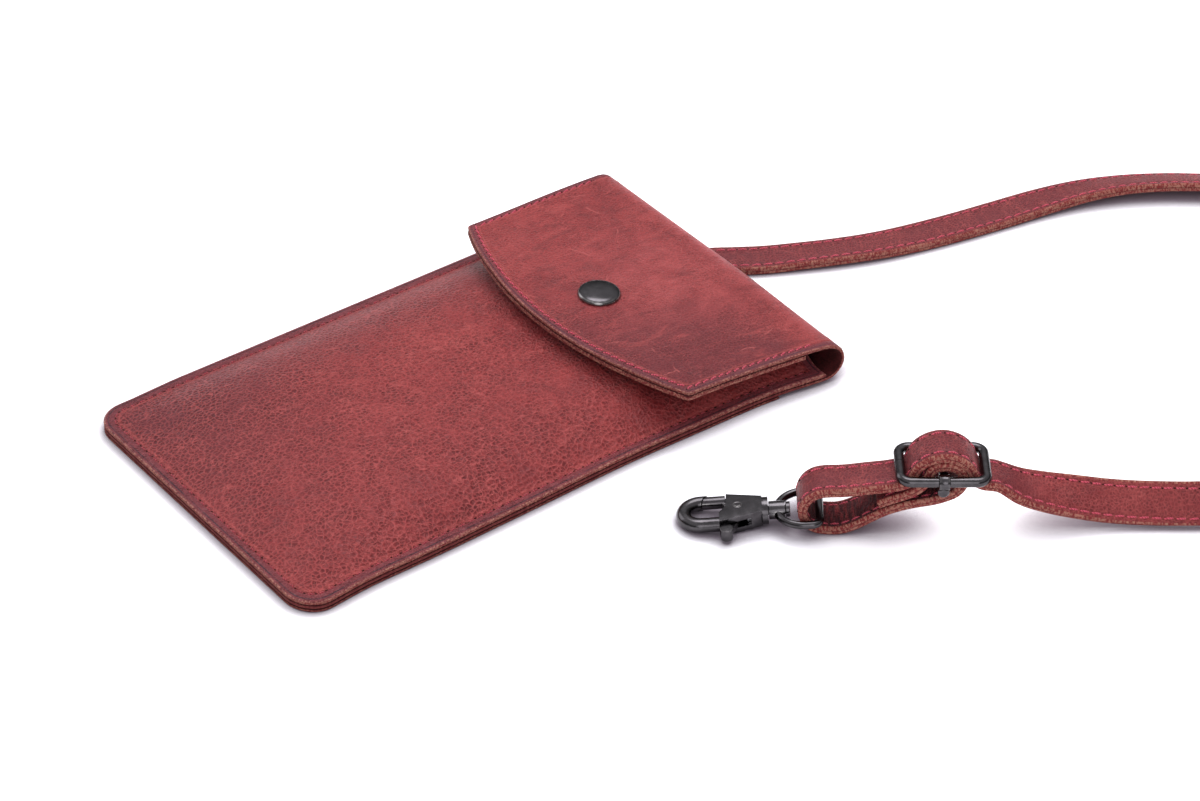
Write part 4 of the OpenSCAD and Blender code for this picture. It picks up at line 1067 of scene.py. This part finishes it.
pouch_rows = [
    seam(u_path(MOUTH_L - 4), front_place, LEATHER - 0.10),
    seam(u_path(POCKET_L - 1), pocket_place, POCKET - 0.27)]
for u in (-inner, inner):
    pouch_rows.append(seam([(u, POCKET_L + 2), (u, MOUTH_L - 4)], main_place, LEATHER - 0.02))
sewn(
    "pouch_seam_thread", pouch_rows, "pouch", POUCH_PITCH, 2.35, ["panel_stitches"], shaded_thread,
    thick=0.44, dip=0.38, hole=0.43, slant=0.14, seed=5)
flap_rows = [
    seam(flap_path(FLAP_V + 3.0), main_place, LEATHER - 0.02, FLAP_PITCH),
    seam(flap_path(lining_v + 1), lining_place, LEATHER - 0.10, FLAP_PITCH)]
sewn(
    "flap_seam_thread", flap_rows, "flap", FLAP_PITCH, 2.55, ["flap_stitches"], thick=0.54, hole=0.34,
    slant=0.30, seed=7)


# Snap: a domed cap with a hollow post holds a socket and its ring spring under the flap, and a stud is
# riveted through the front. All are pressed brass or steel, and what shows is plated like the clasp.
CAP = [
    (1.88, 0, 0), (1.86, 1.6, 0), (1.78, 3.2, 0), (1.64, 4.5, 0), (1.46, 5.3, 0), (1.30, 5.68, 0.05),
    (1.12, 5.9, 0.6), (0.52, 6.22, 1), (0.26, 6.24, 0.6), (0.08, 6.0, 0.2), (0, 5.6, 0),
    (0, 2.2, 0), (-2.88, 2.2, 0), (-2.95, 2.6, 0), (-3.1, 2.68, 0), (-3.1, 1.7, 0), (-0.05, 1.7, 0),
    (-0.05, 0, 0)]
snap_at, snap_over = (main_place(np.zeros(1), SNAP_V, h)[0] for h in (LEATHER, LEATHER + 1))
dome = turned(CAP, snap_at, snap_over - snap_at, segments=64)
turned_piece("snap_cap_dome", [dome], "flap", "snap_cap")
tumbled("snap_socket_cup", "snap_socket", 0.06)
tumbled("snap_ring_spring", "snap_spring", 0.03, steel)
tumbled("snap_stud_post", "snap_stud", 0.06)
tumbled("snap_rivet_head", "snap_rivet", 0.06, steel)


# Ring: a small wire ring at the back, which the clasp goes on, in a folded leather tab whose long
# end lies sewn under the back.
RING_X = 30
RING_AT = (90.5492, 1.6)
TAB_W = 10
TAB_T = 0.8
TAB_Y = 73.6
TAB_Z = 0.6
TAB_LOOP_R = 1.2
TAB_END_TURN = 195

tumbled("back_ring", "tab_ring", 0.05)
tab_line = [(TAB_Y, TAB_Z), (80, TAB_Z), (86, TAB_Z), (88.9, 0.56)]
tab_line += [round_at(*RING_AT, TAB_LOOP_R, a) for a in range(-75, TAB_END_TURN + 1, 10)]
tab_line = smooth_line([(0, y, z) for y, z in tab_line], 0.4)[:, 1:]
tab_run = run_of(tab_line)
tab_along = unit(np.gradient(tab_line, axis=0))


def tab_place(u, v, h):
    y, z, ay, az = (np.interp(v, tab_run, values) for values in (*tab_line.T, *tab_along.T))
    off = TAB_T / 2 - h
    return np.c_[RING_X + u, y - az * off, z + ay * off]


tab_half = TAB_W / 2
tab_net = flat_net(
    [(-tab_half, 0), (tab_half, 0), (tab_half, tab_run[-1]), (-tab_half, tab_run[-1])], [], [0],
    np.arange(1, tab_run[-1], 0.5))
tab = cut_piece("ring_tab_leather", tab_net, tab_place, TAB_T, main_grain, even(0.3))
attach(tab, "pouch")
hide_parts("ring_tab")

# The tab's end and the strap's end are held by four short rows of stitches under the back.
END_PITCH = 3.2
END_Z = 0.22
end_rows = []
for x in (RING_X - 3.2, RING_X + 3.2, -18.3, -11.9):
    here = np.array([(x, y, END_Z) for y in np.arange(75.3, 84, END_PITCH)])
    end_rows.append((here, np.full_like(here, (0, 1, 0)), np.full_like(here, (0, 0, -1))))
sewn(
    "end_stitches", end_rows, "pouch", END_PITCH, 2.4, ["tab_stitches"], thick=0.36, dip=0.2, hole=0.2,
    seed=9)


# Floor and light: a white table in a pale room, with one large soft light above the far side. The
# table also glows faintly, and where the pouch or the strap lies close to it its colour and glow are
# darkened: a painted contact shadow.
FLOOR_HALF = 6e3
corners = [(x * FLOOR_HALF, y * FLOOR_HALF, 0) for x, y in ((-1, -1), (1, -1), (1, 1), (-1, 1))]
paint, tree, shader = finish(
    "floor", Roughness=0.7, Specular_IOR_Level=0.1, Emission_Color=rgb(0.95, 0.93, 1.0))
paper = mixed(noise(own_place(tree), 3, 2.0), rgb(0.9, 0.895, 0.91), rgb(0.93, 0.93, 0.935))
# Painted shadow: ambient occlusion darkens the table's colour and its glow near the pouch and the strap.
clear = wired(tree, "ShaderNodeAmbientOcclusion", {"Distance": 11 * MM}, samples=4).outputs["AO"]
clear = ramp(clear, 0.53, 0.99)
given_to(shader, "Base Color", mixed(clear, rgb(0.32, 0.27, 0.32), paper))
given_to(shader, "Emission Strength", times(clear, 0.50))
floor = built("floor", corners, [(0, 1, 2, 3)], materials=[paint])

world = bpy.data.worlds.new("world")
bpy.context.scene.world = world
world.use_nodes = True
sky = world.node_tree
where = wired(sky, "ShaderNodeTexCoord").outputs["Generated"]
height = wired(sky, "ShaderNodeSeparateXYZ", {0: where}).outputs[2]
glow = ramp(height, -0.1, 0.9, 0.72, 1.28)
# The metal mirrors a room that is dark low down and three windows: a direction, how tight, how strong.
WINDOWS = [
    ((-0.24, 0.18, 0.954), 0.925, 7.0), ((0.74, -0.56, 0.37), 0.93, 3.0), ((-0.86, -0.38, 0.35), 0.93, 2.5)]
mirrored = ramp(height, 0.28, 0.62, 0.15, 1)
for towards, tight, strength in WINDOWS:
    facing = wired(sky, "ShaderNodeVectorMath", {0: where, 1: towards}, operation="DOT_PRODUCT")
    mirrored = calc("ADD", mirrored, ramp(facing.outputs["Value"], tight, tight + 0.04, 0, strength))
glossy = wired(sky, "ShaderNodeLightPath").outputs["Is Glossy Ray"]
glow = wired(sky, "ShaderNodeMix", {0: glossy, 2: glow, 3: mirrored}).outputs[0]
background = sky.nodes["Background"]
background.inputs["Color"].default_value = rgb(0.97, 0.975, 1.0)
given_to(background, "Strength", glow)

LAMP_AT = (-0.7, 0.9, 1.5)
LAMP_W = 1.3
LAMP_POWER = 21
light = bpy.data.lights.new("window above the far side", "AREA")
light.shape = "RECTANGLE"
light.size = LAMP_W
light.size_y = LAMP_W * 0.7
light.energy = LAMP_POWER
lamp = put(light.name, light)
lamp.location = LAMP_AT
lamp.rotation_euler = (-Vector(LAMP_AT)).to_track_quat("-Z", "Y").to_euler()
lamp.visible_glossy = False
bpy.context.scene.view_settings.view_transform = "Standard"
